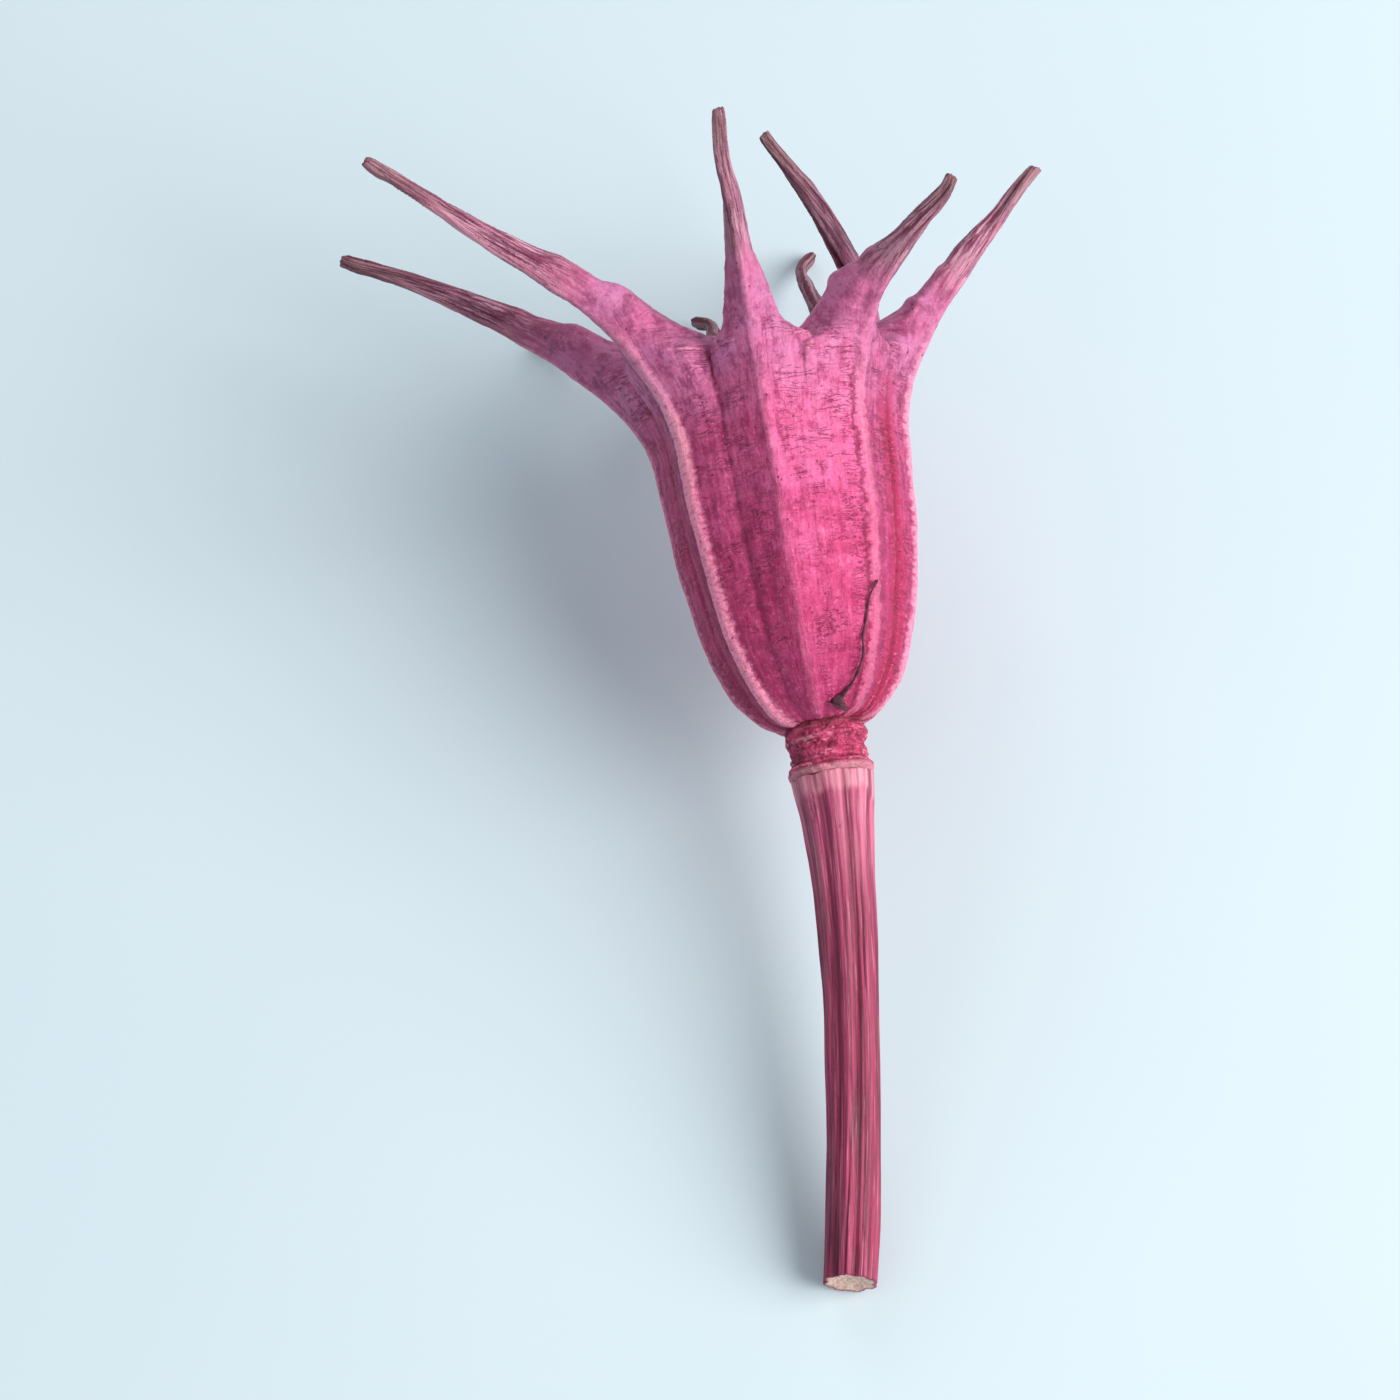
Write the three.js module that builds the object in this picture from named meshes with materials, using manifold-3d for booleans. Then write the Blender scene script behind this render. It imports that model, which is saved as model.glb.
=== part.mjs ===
// A dried nigella seed pod on a short cut stem, lying on a flat surface.
// Millimetres, +Z up. The pod is described in its own growing frame first (local +Z runs from the
// stem to the beaks), then the whole group is turned into the pose in which it rests on a table:
// on the tips of two lower beaks and on the cut end of the stem.
import * as THREE from "three";
import { mergeVertices } from "three/addons/utils/BufferGeometryUtils.js";
import Module from "manifold-3d";

// ---------- driving dimensions ----------
const SHOULDER = 14.3; // height at which the beaks' keels begin to flare, above the pod's base
const KEEL = [ // outline of the fused body along a keel: radius, height
  [1.6, 0.0], [2.6, 0.22], [3.6, 1.05], [4.5, 2.5], [5.2, 4.4],
  [5.75, 6.7], [6.14, 9.2], [6.38, 11.7], [6.52, SHOULDER],
];
const STAR_CENTRE = [0.2, 19.5]; // where the sutures of the follicles meet on top: radius, height
const GAP = 0.3; // clear joint between separate pieces
const FINEST = 0.03; // the smallest feature kept on the capsule
const SHORTEST = 0.05; // no edge of the capsule's skin is shorter
const THINNEST = 0.012; // no facet of it is narrower, where a neighbour can take it in

// One entry for each follicle. az: direction of its keel round the pod, in degrees, counted from
// the upper side. tip: radius, height of the beak's end. lean: sideways shift of that end.
// rise: elevation of the beak at its end, in degrees. twist: turn of the ribbon at its end.
// full: how full its left and right flanks are; fuller flanks leave a shallower groove.
// crest: height of its free blade, as a share of the heights below.
const FOLLICLES = [
  { az: -94, tip: [21.4, 28.7], lean: 0.9, rise: 31, twist: 35, full: [1.05, 0.97], crest: 1 },
  { az: -50, tip: [21.2, 29.4], lean: -3.3, rise: 36, twist: -30, full: [0.97, 0.9], crest: 0.95 },
  { az: -4.5, tip: [12, 29.1], lean: 0.25, rise: 66, twist: 30, full: [0.9, 1.25], crest: 0.9 },
  { az: 41, tip: [14.5, 24.4], lean: 1.4, rise: 38, twist: -50, full: [1.25, 1.1], crest: 1.4 },
  { az: 84, tip: [15.5, 26.6], lean: -0.6, rise: 45, twist: 40, full: [1.1, 1.03], crest: 0.75 },
  { az: 122, tip: [4.2, 33.9], lean: 3.2, rise: 128, twist: 50, full: [1.03, 1.05], crest: 0.5 },
  { az: 150, tip: [15.2, 30], lean: 4.9, rise: 44, twist: -35, full: [1.05, 1.03], crest: 0.8 },
  { az: 192, tip: [14.7, 26.3], lean: 0.5, rise: 27, twist: 45, full: [1.03, 1.05], crest: 0.9 },
  { az: 229, tip: [18.8, 26.8], lean: -2.6, rise: 24, twist: -40, full: [1.05, 1.05], crest: 0.8 },
];

// Stations along a follicle. t: place on the keel's flare, which starts at the end of the fused
// body; h: height of the free blade over its keel; w: greatest half width; lip: half width at the
// suture; slit, depth: half width and depth of the open suture; rise: while the sections still
// meet on the pod's axis, how far up it their sutures are, from the shoulder (0) to the star (1).
const BLADE = [
  { t: 0.14, h: 0, w: 2.45, lip: 0.1, slit: 0.02, depth: 0.02, rise: 0.45 },
  { t: 0.25, h: 0, w: 2.45, lip: 0.12, slit: 0.02, depth: 0.02, rise: 0.78 },
  { t: 0.3, h: 0, w: 2.3, lip: 0.14, slit: 0.02, depth: 0.02, rise: 0.92 },
  { t: 0.335, h: 0, w: 1.9, lip: 0.18, slit: 0.02, depth: 0.02, rise: 1 },
  { t: 0.36, h: 0, w: 1.5, lip: 0.24, slit: 0.03, depth: 0.12 },
  { t: 0.385, h: 0, w: 1.25, lip: 0.32, slit: 0.08, depth: 0.4 },
  { t: 0.41, h: 2.6, w: 1.1, lip: 0.42, slit: 0.16, depth: 0.8 },
  { t: 0.44, h: 2.5, w: 0.98, lip: 0.52, slit: 0.26, depth: 1.15 },
  { t: 0.475, h: 2.25, w: 0.86, lip: 0.55, slit: 0.32, depth: 1.2 },
  { t: 0.51, h: 2, w: 0.74, lip: 0.5, slit: 0.28, depth: 0.95 },
  { t: 0.55, h: 1.8, w: 0.62, lip: 0.42, slit: 0.18, depth: 0.65 },
  { t: 0.6, h: 1.62, w: 0.52, lip: 0.34, slit: 0.1, depth: 0.42 },
  { t: 0.66, h: 1.42, w: 0.43, lip: 0.29, slit: 0.05, depth: 0.25 },
  { t: 0.74, h: 1.18, w: 0.35, lip: 0.26, slit: 0.03, depth: 0.15 },
  { t: 0.82, h: 0.96, w: 0.29, lip: 0.22, slit: 0.03, depth: 0.1 },
  { t: 0.9, h: 0.78, w: 0.25, lip: 0.2, slit: 0.02, depth: 0.07 },
  { t: 0.96, h: 0.66, w: 0.23, lip: 0.18, slit: 0.02, depth: 0.05 },
  { t: 1, h: 0.62, w: 0.25, lip: 0.18, slit: 0.02, depth: 0.04 },
];
const ON_STAR = 3; // the station at the star's centre
const FIRST_FREE = 6; // the first station whose suture edge stands off the pod's axis on its own
const FLANK = [1, 0.97, 0.91, 0.8, 0.62, 0.36, 0.14, 0]; // samples from keel (1) to suture (0)
const KEEL_EDGE = 0.13; // half width of the blunt keel

// Receptacle: the knob at the head of the stem that carries the pod. Radius, height.
const RECEPTACLE = [
  [1.86, -GAP], [2.0, -0.75], [1.9, -1.25], [1.86, -1.7], [2.12, -2.12], [2.0, -2.45],
];
// Stem: radius along its length, and the gentle bend of its axis.
const STEM_TOP = -2.45 - GAP;
const STEM_LENGTH = 25;
const STEM_RADII = [[0, 2.05], [0.03, 1.98], [0.1, 1.76], [0.3, 1.5], [0.6, 1.4], [1, 1.36]];
const STEM_BEND = [-2.9, 0.7]; // sideways and downward shift of its cut end
const STEM_RIBS = 8;
const STEM_RIB_DEPTH = 0.1;
const STEM_CUT_DEG = 16; // slant of the cut

// A withered stamen that still clings to the pod's base: points beside the pod's skin.
const STAMEN_RADIUS = 0.14;
const STAMEN_AZ_Z = [[14, 0.5], [20, 0.9], [27, 1.35], [30, 2], [31, 2.6], [31.5, 3.3], [32.5, 3.9], [34, 4.5], [36, 5.1], [40, 6.1]];

// Rest pose: the pod lies on the tips of follicles 6 and 8 (their places
// in FOLLICLES, from zero) and on the rim of the stem's cut end, beaks a little raised.
const REST_PITCH_DEG = 12.9754;
const REST_ROLL_DEG = -1.6821;

// ---------- helpers ----------
const rad = THREE.MathUtils.degToRad;
const lerp = THREE.MathUtils.lerp;
const wasm = await Module();
wasm.setup();

function toManifold(geometry) {
  const g = geometry.clone();
  g.deleteAttribute("normal");
  g.deleteAttribute("uv");
  const m = mergeVertices(g, 1e-5);
  return new wasm.Manifold(
    new wasm.Mesh({
      numProp: 3,
      vertProperties: m.attributes.position.array,
      triVerts: new Uint32Array(m.index.array),
    }),
  );
}

function toGeometry(manifold) {
  const mesh = manifold.getMesh();
  const n = mesh.numProp;
  const position = new Float32Array(mesh.numVert * 3);
  for (let i = 0; i < mesh.numVert; i++)
    position.set(mesh.vertProperties.subarray(i * n, i * n + 3), i * 3);
  const g = new THREE.BufferGeometry();
  g.setAttribute("position", new THREE.BufferAttribute(position, 3));
  g.setIndex(new THREE.BufferAttribute(new Uint32Array(mesh.triVerts), 1));
  g.computeVertexNormals();
  return g;
}

// Takes in short edges and needle-thin facets of a closed skin, keeping it closed.
function tidy(geometry, shortest, thinnest) {
  const p = geometry.attributes.position;
  const at = Array.from({ length: p.count }, (_, i) => new THREE.Vector3().fromBufferAttribute(p, i));
  let faces = [];
  for (let i = 0; i < geometry.index.count; i += 3)
    faces.push([0, 1, 2].map((k) => geometry.index.getX(i + k)));
  const normal = (a, b, c) =>
    at[b].clone().sub(at[a]).cross(at[c].clone().sub(at[a]));
  for (let pass = 0; pass < 40; pass++) {
    const ring = at.map(() => new Set());
    const owner = new Map();
    faces.forEach(([a, b, c], i) => {
      for (const [u, v] of [[a, b], [b, c], [c, a]]) {
        ring[u].add(v);
        ring[v].add(u);
        owner.set(u + "_" + v, i);
      }
    });
    const around = at.map(() => []);
    faces.forEach((f, i) => f.forEach((v) => around[v].push(i)));
    const busy = new Set();
    const dropped = new Set();
    let changes = 0;
    faces.forEach((f, i) => {
      if (dropped.has(i) || f.some((v) => busy.has(v))) return;
      const edges = [0, 1, 2]
        .map((k) => [f[k], f[(k + 1) % 3], f[(k + 2) % 3]])
        .sort((x, y) => at[x[0]].distanceTo(at[x[1]]) - at[y[0]].distanceTo(at[y[1]]));
      const [a, b] = edges[0];
      const hold = (v) => {
        busy.add(v);
        ring[v].forEach((w) => busy.add(w));
      };
      if (at[a].distanceTo(at[b]) < shortest) {
        const shared = [...ring[a]].filter((v) => ring[b].has(v));
        const near = [...ring[a], ...ring[b]];
        const turned = around[b].some((j) => {
          const g = faces[j];
          if (g.includes(a)) return false;
          const before = normal(...g);
          const after = normal(...g.map((v) => (v === b ? a : v)));
          return before.dot(after) <= 0;
        });
        if (shared.length === 2 && !near.some((v) => busy.has(v)) && !turned) {
          hold(a);
          hold(b);
          for (const j of around[b])
            if (faces[j].includes(a)) dropped.add(j);
            else faces[j] = faces[j].map((v) => (v === b ? a : v));
          changes++;
          return;
        }
      }
      const [u, v, w] = edges[2];
      const height = normal(u, v, w).length() / at[u].distanceTo(at[v]);
      if (height < thinnest) {
        const j = owner.get(v + "_" + u);
        if (j === undefined || dropped.has(j)) return;
        const x = faces[j].find((q) => q !== u && q !== v);
        if (x === undefined || ring[w].has(x) || busy.has(x)) return;
        const best = Math.min(normal(u, x, w).length(), normal(x, v, w).length());
        if (best <= 0) return;
        faces[i] = [u, x, w];
        faces[j] = [x, v, w];
        [u, v, w, x].forEach((q) => busy.add(q));
        changes++;
      }
    });
    faces = faces.filter((_, i) => !dropped.has(i));
    if (!changes) break;
  }
  const used = new Map();
  const position = [];
  const index = faces.flat().map((v) => {
    if (!used.has(v)) {
      used.set(v, used.size);
      position.push(at[v].x, at[v].y, at[v].z);
    }
    return used.get(v);
  });
  const g = new THREE.BufferGeometry();
  g.setAttribute("position", new THREE.Float32BufferAttribute(position, 3));
  g.setIndex(index);
  g.computeVertexNormals();
  return g;
}

// A closed skin over a row of rings with equal point counts; each ring is a list of Vector3.
function loft(rings) {
  const n = rings[0].length;
  const position = [];
  for (const ring of rings) for (const p of ring) position.push(p.x, p.y, p.z);
  const index = [];
  for (let k = 0; k + 1 < rings.length; k++)
    for (let j = 0; j < n; j++) {
      const a = k * n + j,
        b = k * n + ((j + 1) % n),
        c = a + n,
        d = b + n;
      index.push(a, b, d, a, d, c);
    }
  for (const [base, flip] of [[0, true], [(rings.length - 1) * n, false]]) {
    const flat = rings[base / n];
    // Cap by ear clipping in the ring's own plane.
    const centre = flat.reduce((s, p) => s.add(p), new THREE.Vector3()).divideScalar(n);
    const normal = new THREE.Vector3();
    for (let j = 0; j < n; j++)
      normal.add(
        flat[j].clone().sub(centre).cross(flat[(j + 1) % n].clone().sub(centre)),
      );
    normal.normalize();
    const u = flat[0].clone().sub(centre).projectOnPlane(normal).normalize();
    const v = normal.clone().cross(u);
    const shape = flat.map((p) => {
      const q = p.clone().sub(centre);
      return new THREE.Vector2(q.dot(u), q.dot(v));
    });
    for (const [a, b, c] of THREE.ShapeUtils.triangulateShape(shape, []))
      index.push(
        ...(flip ? [base + a, base + c, base + b] : [base + a, base + b, base + c]),
      );
  }
  const g = new THREE.BufferGeometry();
  g.setAttribute("position", new THREE.Float32BufferAttribute(position, 3));
  g.setIndex(index);
  return g;
}

// ---------- the seed capsule ----------
// The fused and the free part of one follicle's keel, and the direction square to it.
function flareOf(f) {
  const [tr, tz] = f.tip;
  const p0 = new THREE.Vector2(...KEEL[KEEL.length - 1]);
  const p1 = new THREE.Vector2(6.9, SHOULDER + 5.0);
  const reach = Math.hypot(tr - p1.x, tz - p1.y);
  const p2 = new THREE.Vector2(
    tr - Math.cos(rad(f.rise)) * reach * 0.5,
    tz - Math.sin(rad(f.rise)) * reach * 0.5,
  );
  return new THREE.CubicBezierCurve(
    p0, p1, p2, new THREE.Vector2(tr, tz),
  );
}

function smoothMin(a, b, k) {
  const h = Math.max(k - Math.abs(a - b), 0) / k;
  return Math.min(a, b) - (h * h * k) / 4;
}

// The outline of one section: keel and suture points (r, z) and the section's numbers.
function ringOf(f, keel, suture, s, halfLeft, halfRight, shift, spin) {
  const er = new THREE.Vector3(Math.sin(rad(f.az)), -Math.cos(rad(f.az)), 0);
  const et = new THREE.Vector3(Math.cos(rad(f.az)), Math.sin(rad(f.az)), 0);
  const across = new THREE.Vector2().subVectors(suture, keel);
  const length = across.length();
  across.normalize();
  // In the ribbon the section turns about its middle.
  const mid = keel.clone().addScaledVector(across, length / 2);
  const place = (sigma, side) => {
    // sigma: distance from the suture towards the keel; side: signed sideways distance
    let a = length / 2 - sigma, b = side;
    const c = Math.cos(spin), n = Math.sin(spin);
    [a, b] = [a * c - b * n, a * n + b * c];
    return er
      .clone()
      .multiplyScalar(mid.x + across.x * a)
      .addScaledVector(et, b + shift)
      .add(new THREE.Vector3(0, 0, mid.y + across.y * a));
  };
  const half = (t, wedgeAngle, full) => {
    const fromKeel = (1 - t) * length; // t is 1 at the keel
    const fromSuture = t * length;
    const r = Math.max(lerp(suture.x, keel.x, t), 0);
    const q = Math.min(fromKeel / s.round, 1);
    let w = KEEL_EDGE + s.w * full * (1 - Math.pow(1 - q, 1.6));
    w = smoothMin(w, s.lip + s.open * fromSuture, 0.25);
    w = Math.min(w, r * Math.tan(wedgeAngle) * 1.12 + 0.12);
    return Math.max(w, 0.035);
  };
  const slit = Math.min(s.slit, half(0, Math.min(halfLeft, halfRight), 1) * 0.62);
  const [fullLeft, fullRight] = f.full.map((v) => lerp(1, v, s.fused));
  const points = [];
  for (const t of FLANK) points.push(place(t * length, half(t, halfRight, fullRight)));
  points.push(place(0, slit));
  points.push(place(s.depth, slit * 0.55));
  points.push(place(s.depth, -slit * 0.55));
  points.push(place(0, -slit));
  for (const t of [...FLANK].reverse()) points.push(place(t * length, -half(t, halfLeft, fullLeft)));
  return points;
}

function follicle(f, left, right) {
  const halfLeft = rad(f.az - left) / 2;
  const halfRight = rad(right - f.az) / 2;
  const rings = [];
  for (const [r, z] of KEEL) {
    const q = z / SHOULDER;
    const s = { w: lerp(1.95, 2.4, q), lip: 0.05, open: 9, slit: 0.02, depth: 0.02, round: lerp(1.0, 1.3, q), fused: 1 };
    s.w *= Math.min(1, r / 5);
    rings.push(ringOf(f, new THREE.Vector2(r, z), new THREE.Vector2(0, z), s, halfLeft, halfRight, 0, 0));
  }
  const flare = flareOf(f);
  const square = (t) => {
    const d = flare.getTangent(t);
    return new THREE.Vector2(-d.y, d.x); // towards the suture
  };
  const blade = (b) => b.h * lerp(f.crest, 1, THREE.MathUtils.smoothstep(b.t, 0.5, 0.75));
  const onSuture = (b) => {
    const k = flare.getPoint(b.t);
    return k.addScaledVector(square(b.t), blade(b));
  };
  const out = onSuture(BLADE[FIRST_FREE]);
  BLADE.forEach((b, k) => {
    const keel = flare.getPoint(b.t);
    let suture;
    if (k < ON_STAR) suture = new THREE.Vector2(0, lerp(SHOULDER, STAR_CENTRE[1], b.rise));
    else if (k < FIRST_FREE) {
      const u = (b.t - BLADE[ON_STAR].t) / (BLADE[FIRST_FREE].t - BLADE[ON_STAR].t);
      suture = new THREE.Vector2(...STAR_CENTRE).lerp(out, u);
      suture.y -= 0.35 * Math.sin(Math.PI * u);
    } else suture = onSuture(b);
    const g = THREE.MathUtils.smoothstep(b.t, 0.35, 1.0);
    const s = {
      ...b,
      open: k < FIRST_FREE ? 0.75 : 0.9,
      round: k < ON_STAR ? 1.3 : k < FIRST_FREE ? 1.5 : Math.max(0.35, 0.5 * b.h),
      fused: k < ON_STAR ? 1 : 0,
    };
    rings.push(
      ringOf(f, keel, suture, s, halfLeft, halfRight, f.lean * g, rad(f.twist) * THREE.MathUtils.smoothstep(b.t, 0.66, 1)),
    );
  });
  return loft(rings);
}

function capsuleGeometry() {
  const solids = FOLLICLES.map((f, i) => {
    const n = FOLLICLES.length;
    const left = FOLLICLES[(i + n - 1) % n].az - (i === 0 ? 360 : 0);
    const right = FOLLICLES[(i + 1) % n].az + (i === n - 1 ? 360 : 0);
    return toManifold(follicle(f, left, right));
  });
  const joined = solids.reduce((a, b) => a.add(b)).asOriginal();
  const bodies = joined.simplify(FINEST).simplify(FINEST).decompose();
  // Hairline scraps between the seams on the axis are dropped.
  const whole = bodies.reduce((x, y) => (x.volume() > y.volume() ? x : y));
  return tidy(toGeometry(whole), SHORTEST, THINNEST);
}

// ---------- receptacle, stem and stamen ----------
function receptacleGeometry() {
  const top = RECEPTACLE[0], foot = RECEPTACLE[RECEPTACLE.length - 1];
  const profile = [[0, foot[1]], ...[...RECEPTACLE].reverse(), [0, top[1]]];
  return new THREE.LatheGeometry(profile.map(([r, z]) => new THREE.Vector2(r, z)), 24)
    .rotateX(Math.PI / 2);
}

function stemAxis(u) {
  return new THREE.Vector3(
    STEM_BEND[0] * Math.pow(Math.max(u, 0), 1.7),
    STEM_BEND[1] * u * u,
    STEM_TOP - STEM_LENGTH * u,
  );
}

function stemGeometry() {
  const steps = 18, sides = 32;
  const radius = (u) => {
    for (let k = 0; k + 1 < STEM_RADII.length; k++) {
      const [a, ra] = STEM_RADII[k], [b, rb] = STEM_RADII[k + 1];
      if (u <= b) return lerp(ra, rb, (u - a) / (b - a));
    }
    return STEM_RADII[STEM_RADII.length - 1][1];
  };
  const rings = [];
  const at = [0, 0.03, 0.07, ...Array.from({ length: steps - 3 }, (_, k) => lerp(0.12, 1, k / (steps - 4)))];
  for (const u of at) {
    const c = stemAxis(u);
    const d = stemAxis(u + 1e-3).sub(stemAxis(u - 1e-3)).normalize();
    const x = new THREE.Vector3(1, 0, 0).projectOnPlane(d).normalize();
    const y = d.clone().cross(x).negate();
    rings.push(
      Array.from({ length: sides }, (_, j) => {
        const a = (2 * Math.PI * j) / sides;
        const r = radius(u) - STEM_RIB_DEPTH * (0.5 - 0.5 * Math.cos(STEM_RIBS * a));
        const p = c.clone().addScaledVector(x, r * Math.cos(a)).addScaledVector(y, r * Math.sin(a));
        if (u === 1) p.addScaledVector(d, r * Math.sin(a) * Math.tan(rad(STEM_CUT_DEG)));
        return p;
      }),
    );
  }
  return loft(rings.reverse());
}

// Radius of the body's outline over a keel at a height.
function keelRadius(z) {
  for (let k = 0; k + 1 < KEEL.length; k++)
    if (z <= KEEL[k + 1][1])
      return lerp(KEEL[k][0], KEEL[k + 1][0], (z - KEEL[k][1]) / (KEEL[k + 1][1] - KEEL[k][1]));
  return KEEL[KEEL.length - 1][0];
}

function stamenGeometry() {
  const path = new THREE.CatmullRomCurve3(
    STAMEN_AZ_Z.map(([az, z]) => {
      const r = keelRadius(z) + GAP + STAMEN_RADIUS;
      return new THREE.Vector3(r * Math.sin(rad(az)), -r * Math.cos(rad(az)), z - 0.1);
    }),
  );
  const shape = new THREE.Shape(
    Array.from({ length: 6 }, (_, j) =>
      new THREE.Vector2(
        STAMEN_RADIUS * Math.cos((j * Math.PI) / 3),
        STAMEN_RADIUS * Math.sin((j * Math.PI) / 3),
      ),
    ),
  );
  return new THREE.ExtrudeGeometry(shape, { steps: 12, extrudePath: path });
}

// ---------- assembly ----------
const dye = (hex, roughness) =>
  new THREE.MeshStandardMaterial({ color: hex, roughness, metalness: 0 });

function piece(name, geometry, material) {
  const mesh = new THREE.Mesh(geometry, material);
  mesh.name = name;
  return mesh;
}

// Growing frame: +Z from the stem to the beaks, -Y the side that faces up at rest.
const pod = new THREE.Group();
pod.add(
  piece("seed_capsule", capsuleGeometry(), dye(0xc4447c, 0.62)),
  piece("receptacle", receptacleGeometry(), dye(0x9c2850, 0.8)),
  piece("stem", stemGeometry(), dye(0xa44868, 0.6)),
  piece("withered_stamen", stamenGeometry(), dye(0x3a0f20, 0.8)),
);

// Lying down: the upper side (-Y) turns to +Z and the beaks point along +Y.
pod.rotation.x = rad(-90 + REST_PITCH_DEG);
const lying = new THREE.Group();
lying.rotation.y = rad(REST_ROLL_DEG);
lying.add(pod);
lying.updateMatrixWorld(true);
const box = new THREE.Box3().setFromObject(lying, true);
lying.position.set(-(box.min.x + box.max.x) / 2, -(box.min.y + box.max.y) / 2, -box.min.z);

const object = new THREE.Group();
object.name = "nigella_seed_pod";
object.add(lying);

export default object;
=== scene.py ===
"""A dried, dyed nigella seed pod on a short cut stem, lying on a pale surface.

Shapes are built in millimetres in the pod's growing frame (+Z from the stem to the beaks, -Y the side
that faces up at rest) and then laid down in the row frame, in metres.
"""

import math

import bpy
import numpy as np
from mathutils import Matrix, Vector
from mathutils.bvhtree import BVHTree
from mathutils.kdtree import KDTree


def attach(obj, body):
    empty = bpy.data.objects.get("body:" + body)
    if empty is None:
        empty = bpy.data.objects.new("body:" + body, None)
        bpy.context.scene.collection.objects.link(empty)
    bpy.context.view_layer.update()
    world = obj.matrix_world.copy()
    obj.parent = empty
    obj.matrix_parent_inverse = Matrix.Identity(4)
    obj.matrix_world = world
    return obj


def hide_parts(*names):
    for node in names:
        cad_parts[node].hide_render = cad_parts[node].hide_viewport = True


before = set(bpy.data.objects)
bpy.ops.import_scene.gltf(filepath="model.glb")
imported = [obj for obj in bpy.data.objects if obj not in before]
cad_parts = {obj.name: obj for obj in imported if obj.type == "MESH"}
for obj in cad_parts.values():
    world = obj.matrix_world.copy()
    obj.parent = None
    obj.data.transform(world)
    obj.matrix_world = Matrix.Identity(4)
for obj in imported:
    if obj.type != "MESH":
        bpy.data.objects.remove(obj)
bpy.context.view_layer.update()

# ---------------------------------------------------------------- rest pose, as in the CAD
PITCH, ROLL = math.radians(12.9754), math.radians(-1.6821)
OFFSET = np.array([3.2342873, -3.5163768, 8.4094119])
_rx = np.array(Matrix.Rotation(PITCH - math.pi / 2, 3, "X"))
_ry = np.array(Matrix.Rotation(ROLL, 3, "Y"))
LAY = _ry @ _rx


def lay(p):
    """Growing frame, mm -> row frame, m."""
    return (np.asarray(p) @ LAY.T + OFFSET) * 0.001


# ---------------------------------------------------------------- numbers shared with the CAD
SHOULDER = 14.3
KEEL = np.array([
    [1.6, 0.0], [2.6, 0.22], [3.6, 1.05], [4.5, 2.5], [5.2, 4.4],
    [5.75, 6.7], [6.14, 9.2], [6.38, 11.7], [6.52, SHOULDER],
])
STAR = np.array([0.2, 19.5])
FOLLICLES = [
    dict(az=-94, tip=(21.4, 28.7), lean=0.9, rise=31, twist=35, full=(1.05, 0.97), crest=1),
    dict(az=-50, tip=(21.2, 29.4), lean=-3.3, rise=36, twist=-30, full=(0.97, 0.9), crest=0.95),
    dict(az=-4.5, tip=(12, 29.1), lean=0.25, rise=66, twist=30, full=(0.9, 1.25), crest=0.9),
    dict(az=41, tip=(14.5, 24.4), lean=1.4, rise=38, twist=-50, full=(1.25, 1.1), crest=1.4),
    dict(az=84, tip=(15.5, 26.6), lean=-0.6, rise=45, twist=40, full=(1.1, 1.03), crest=0.75),
    dict(az=122, tip=(4.2, 33.9), lean=3.2, rise=128, twist=50, full=(1.03, 1.05), crest=0.5),
    dict(az=150, tip=(15.2, 30), lean=4.9, rise=44, twist=-35, full=(1.05, 1.03), crest=0.8),
    dict(az=192, tip=(14.7, 26.3), lean=0.5, rise=27, twist=45, full=(1.03, 1.05), crest=0.9),
    dict(az=229, tip=(18.8, 26.8), lean=-2.6, rise=24, twist=-40, full=(1.05, 1.05), crest=0.8),
]
# t, h, w, lip, slit, depth
BLADE = np.array([
    [0.14, 0, 2.45, 0.1, 0.02, 0.02],
    [0.25, 0, 2.45, 0.12, 0.02, 0.02],
    [0.3, 0, 2.3, 0.14, 0.02, 0.02],
    [0.335, 0, 1.9, 0.18, 0.02, 0.02],
    [0.36, 0, 1.5, 0.24, 0.03, 0.12],
    [0.385, 0, 1.25, 0.32, 0.08, 0.4],
    [0.41, 2.6, 1.1, 0.42, 0.16, 0.8],
    [0.44, 2.5, 0.98, 0.52, 0.26, 1.15],
    [0.475, 2.25, 0.86, 0.55, 0.32, 1.2],
    [0.51, 2, 0.74, 0.5, 0.28, 0.95],
    [0.55, 1.8, 0.62, 0.42, 0.18, 0.65],
    [0.6, 1.62, 0.52, 0.34, 0.1, 0.42],
    [0.66, 1.42, 0.43, 0.29, 0.05, 0.25],
    [0.74, 1.18, 0.35, 0.26, 0.03, 0.15],
    [0.82, 0.96, 0.29, 0.22, 0.03, 0.1],
    [0.9, 0.78, 0.25, 0.2, 0.02, 0.07],
    [0.96, 0.66, 0.23, 0.18, 0.02, 0.05],
    [1, 0.62, 0.25, 0.18, 0.02, 0.04],
])
RISE = (0.45, 0.78, 0.92, 1.0)  # how far up the axis the first sutures are, shoulder to star
ON_STAR, FREE = 3, 6
WANDER = (0.6, 0.5, 0.3, 0.6, 0.4, 0.3, 1.0, 1.0, 0.8)  # how bent each beak is
KEEL_EDGE = 0.13


# ---------------------------------------------------------------- small numeric tools
def rad(a):
    return a * math.pi / 180


def sstep(a, b, x):
    t = np.clip((np.asarray(x, float) - a) / (b - a), 0, 1)
    return t * t * (3 - 2 * t)


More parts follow.
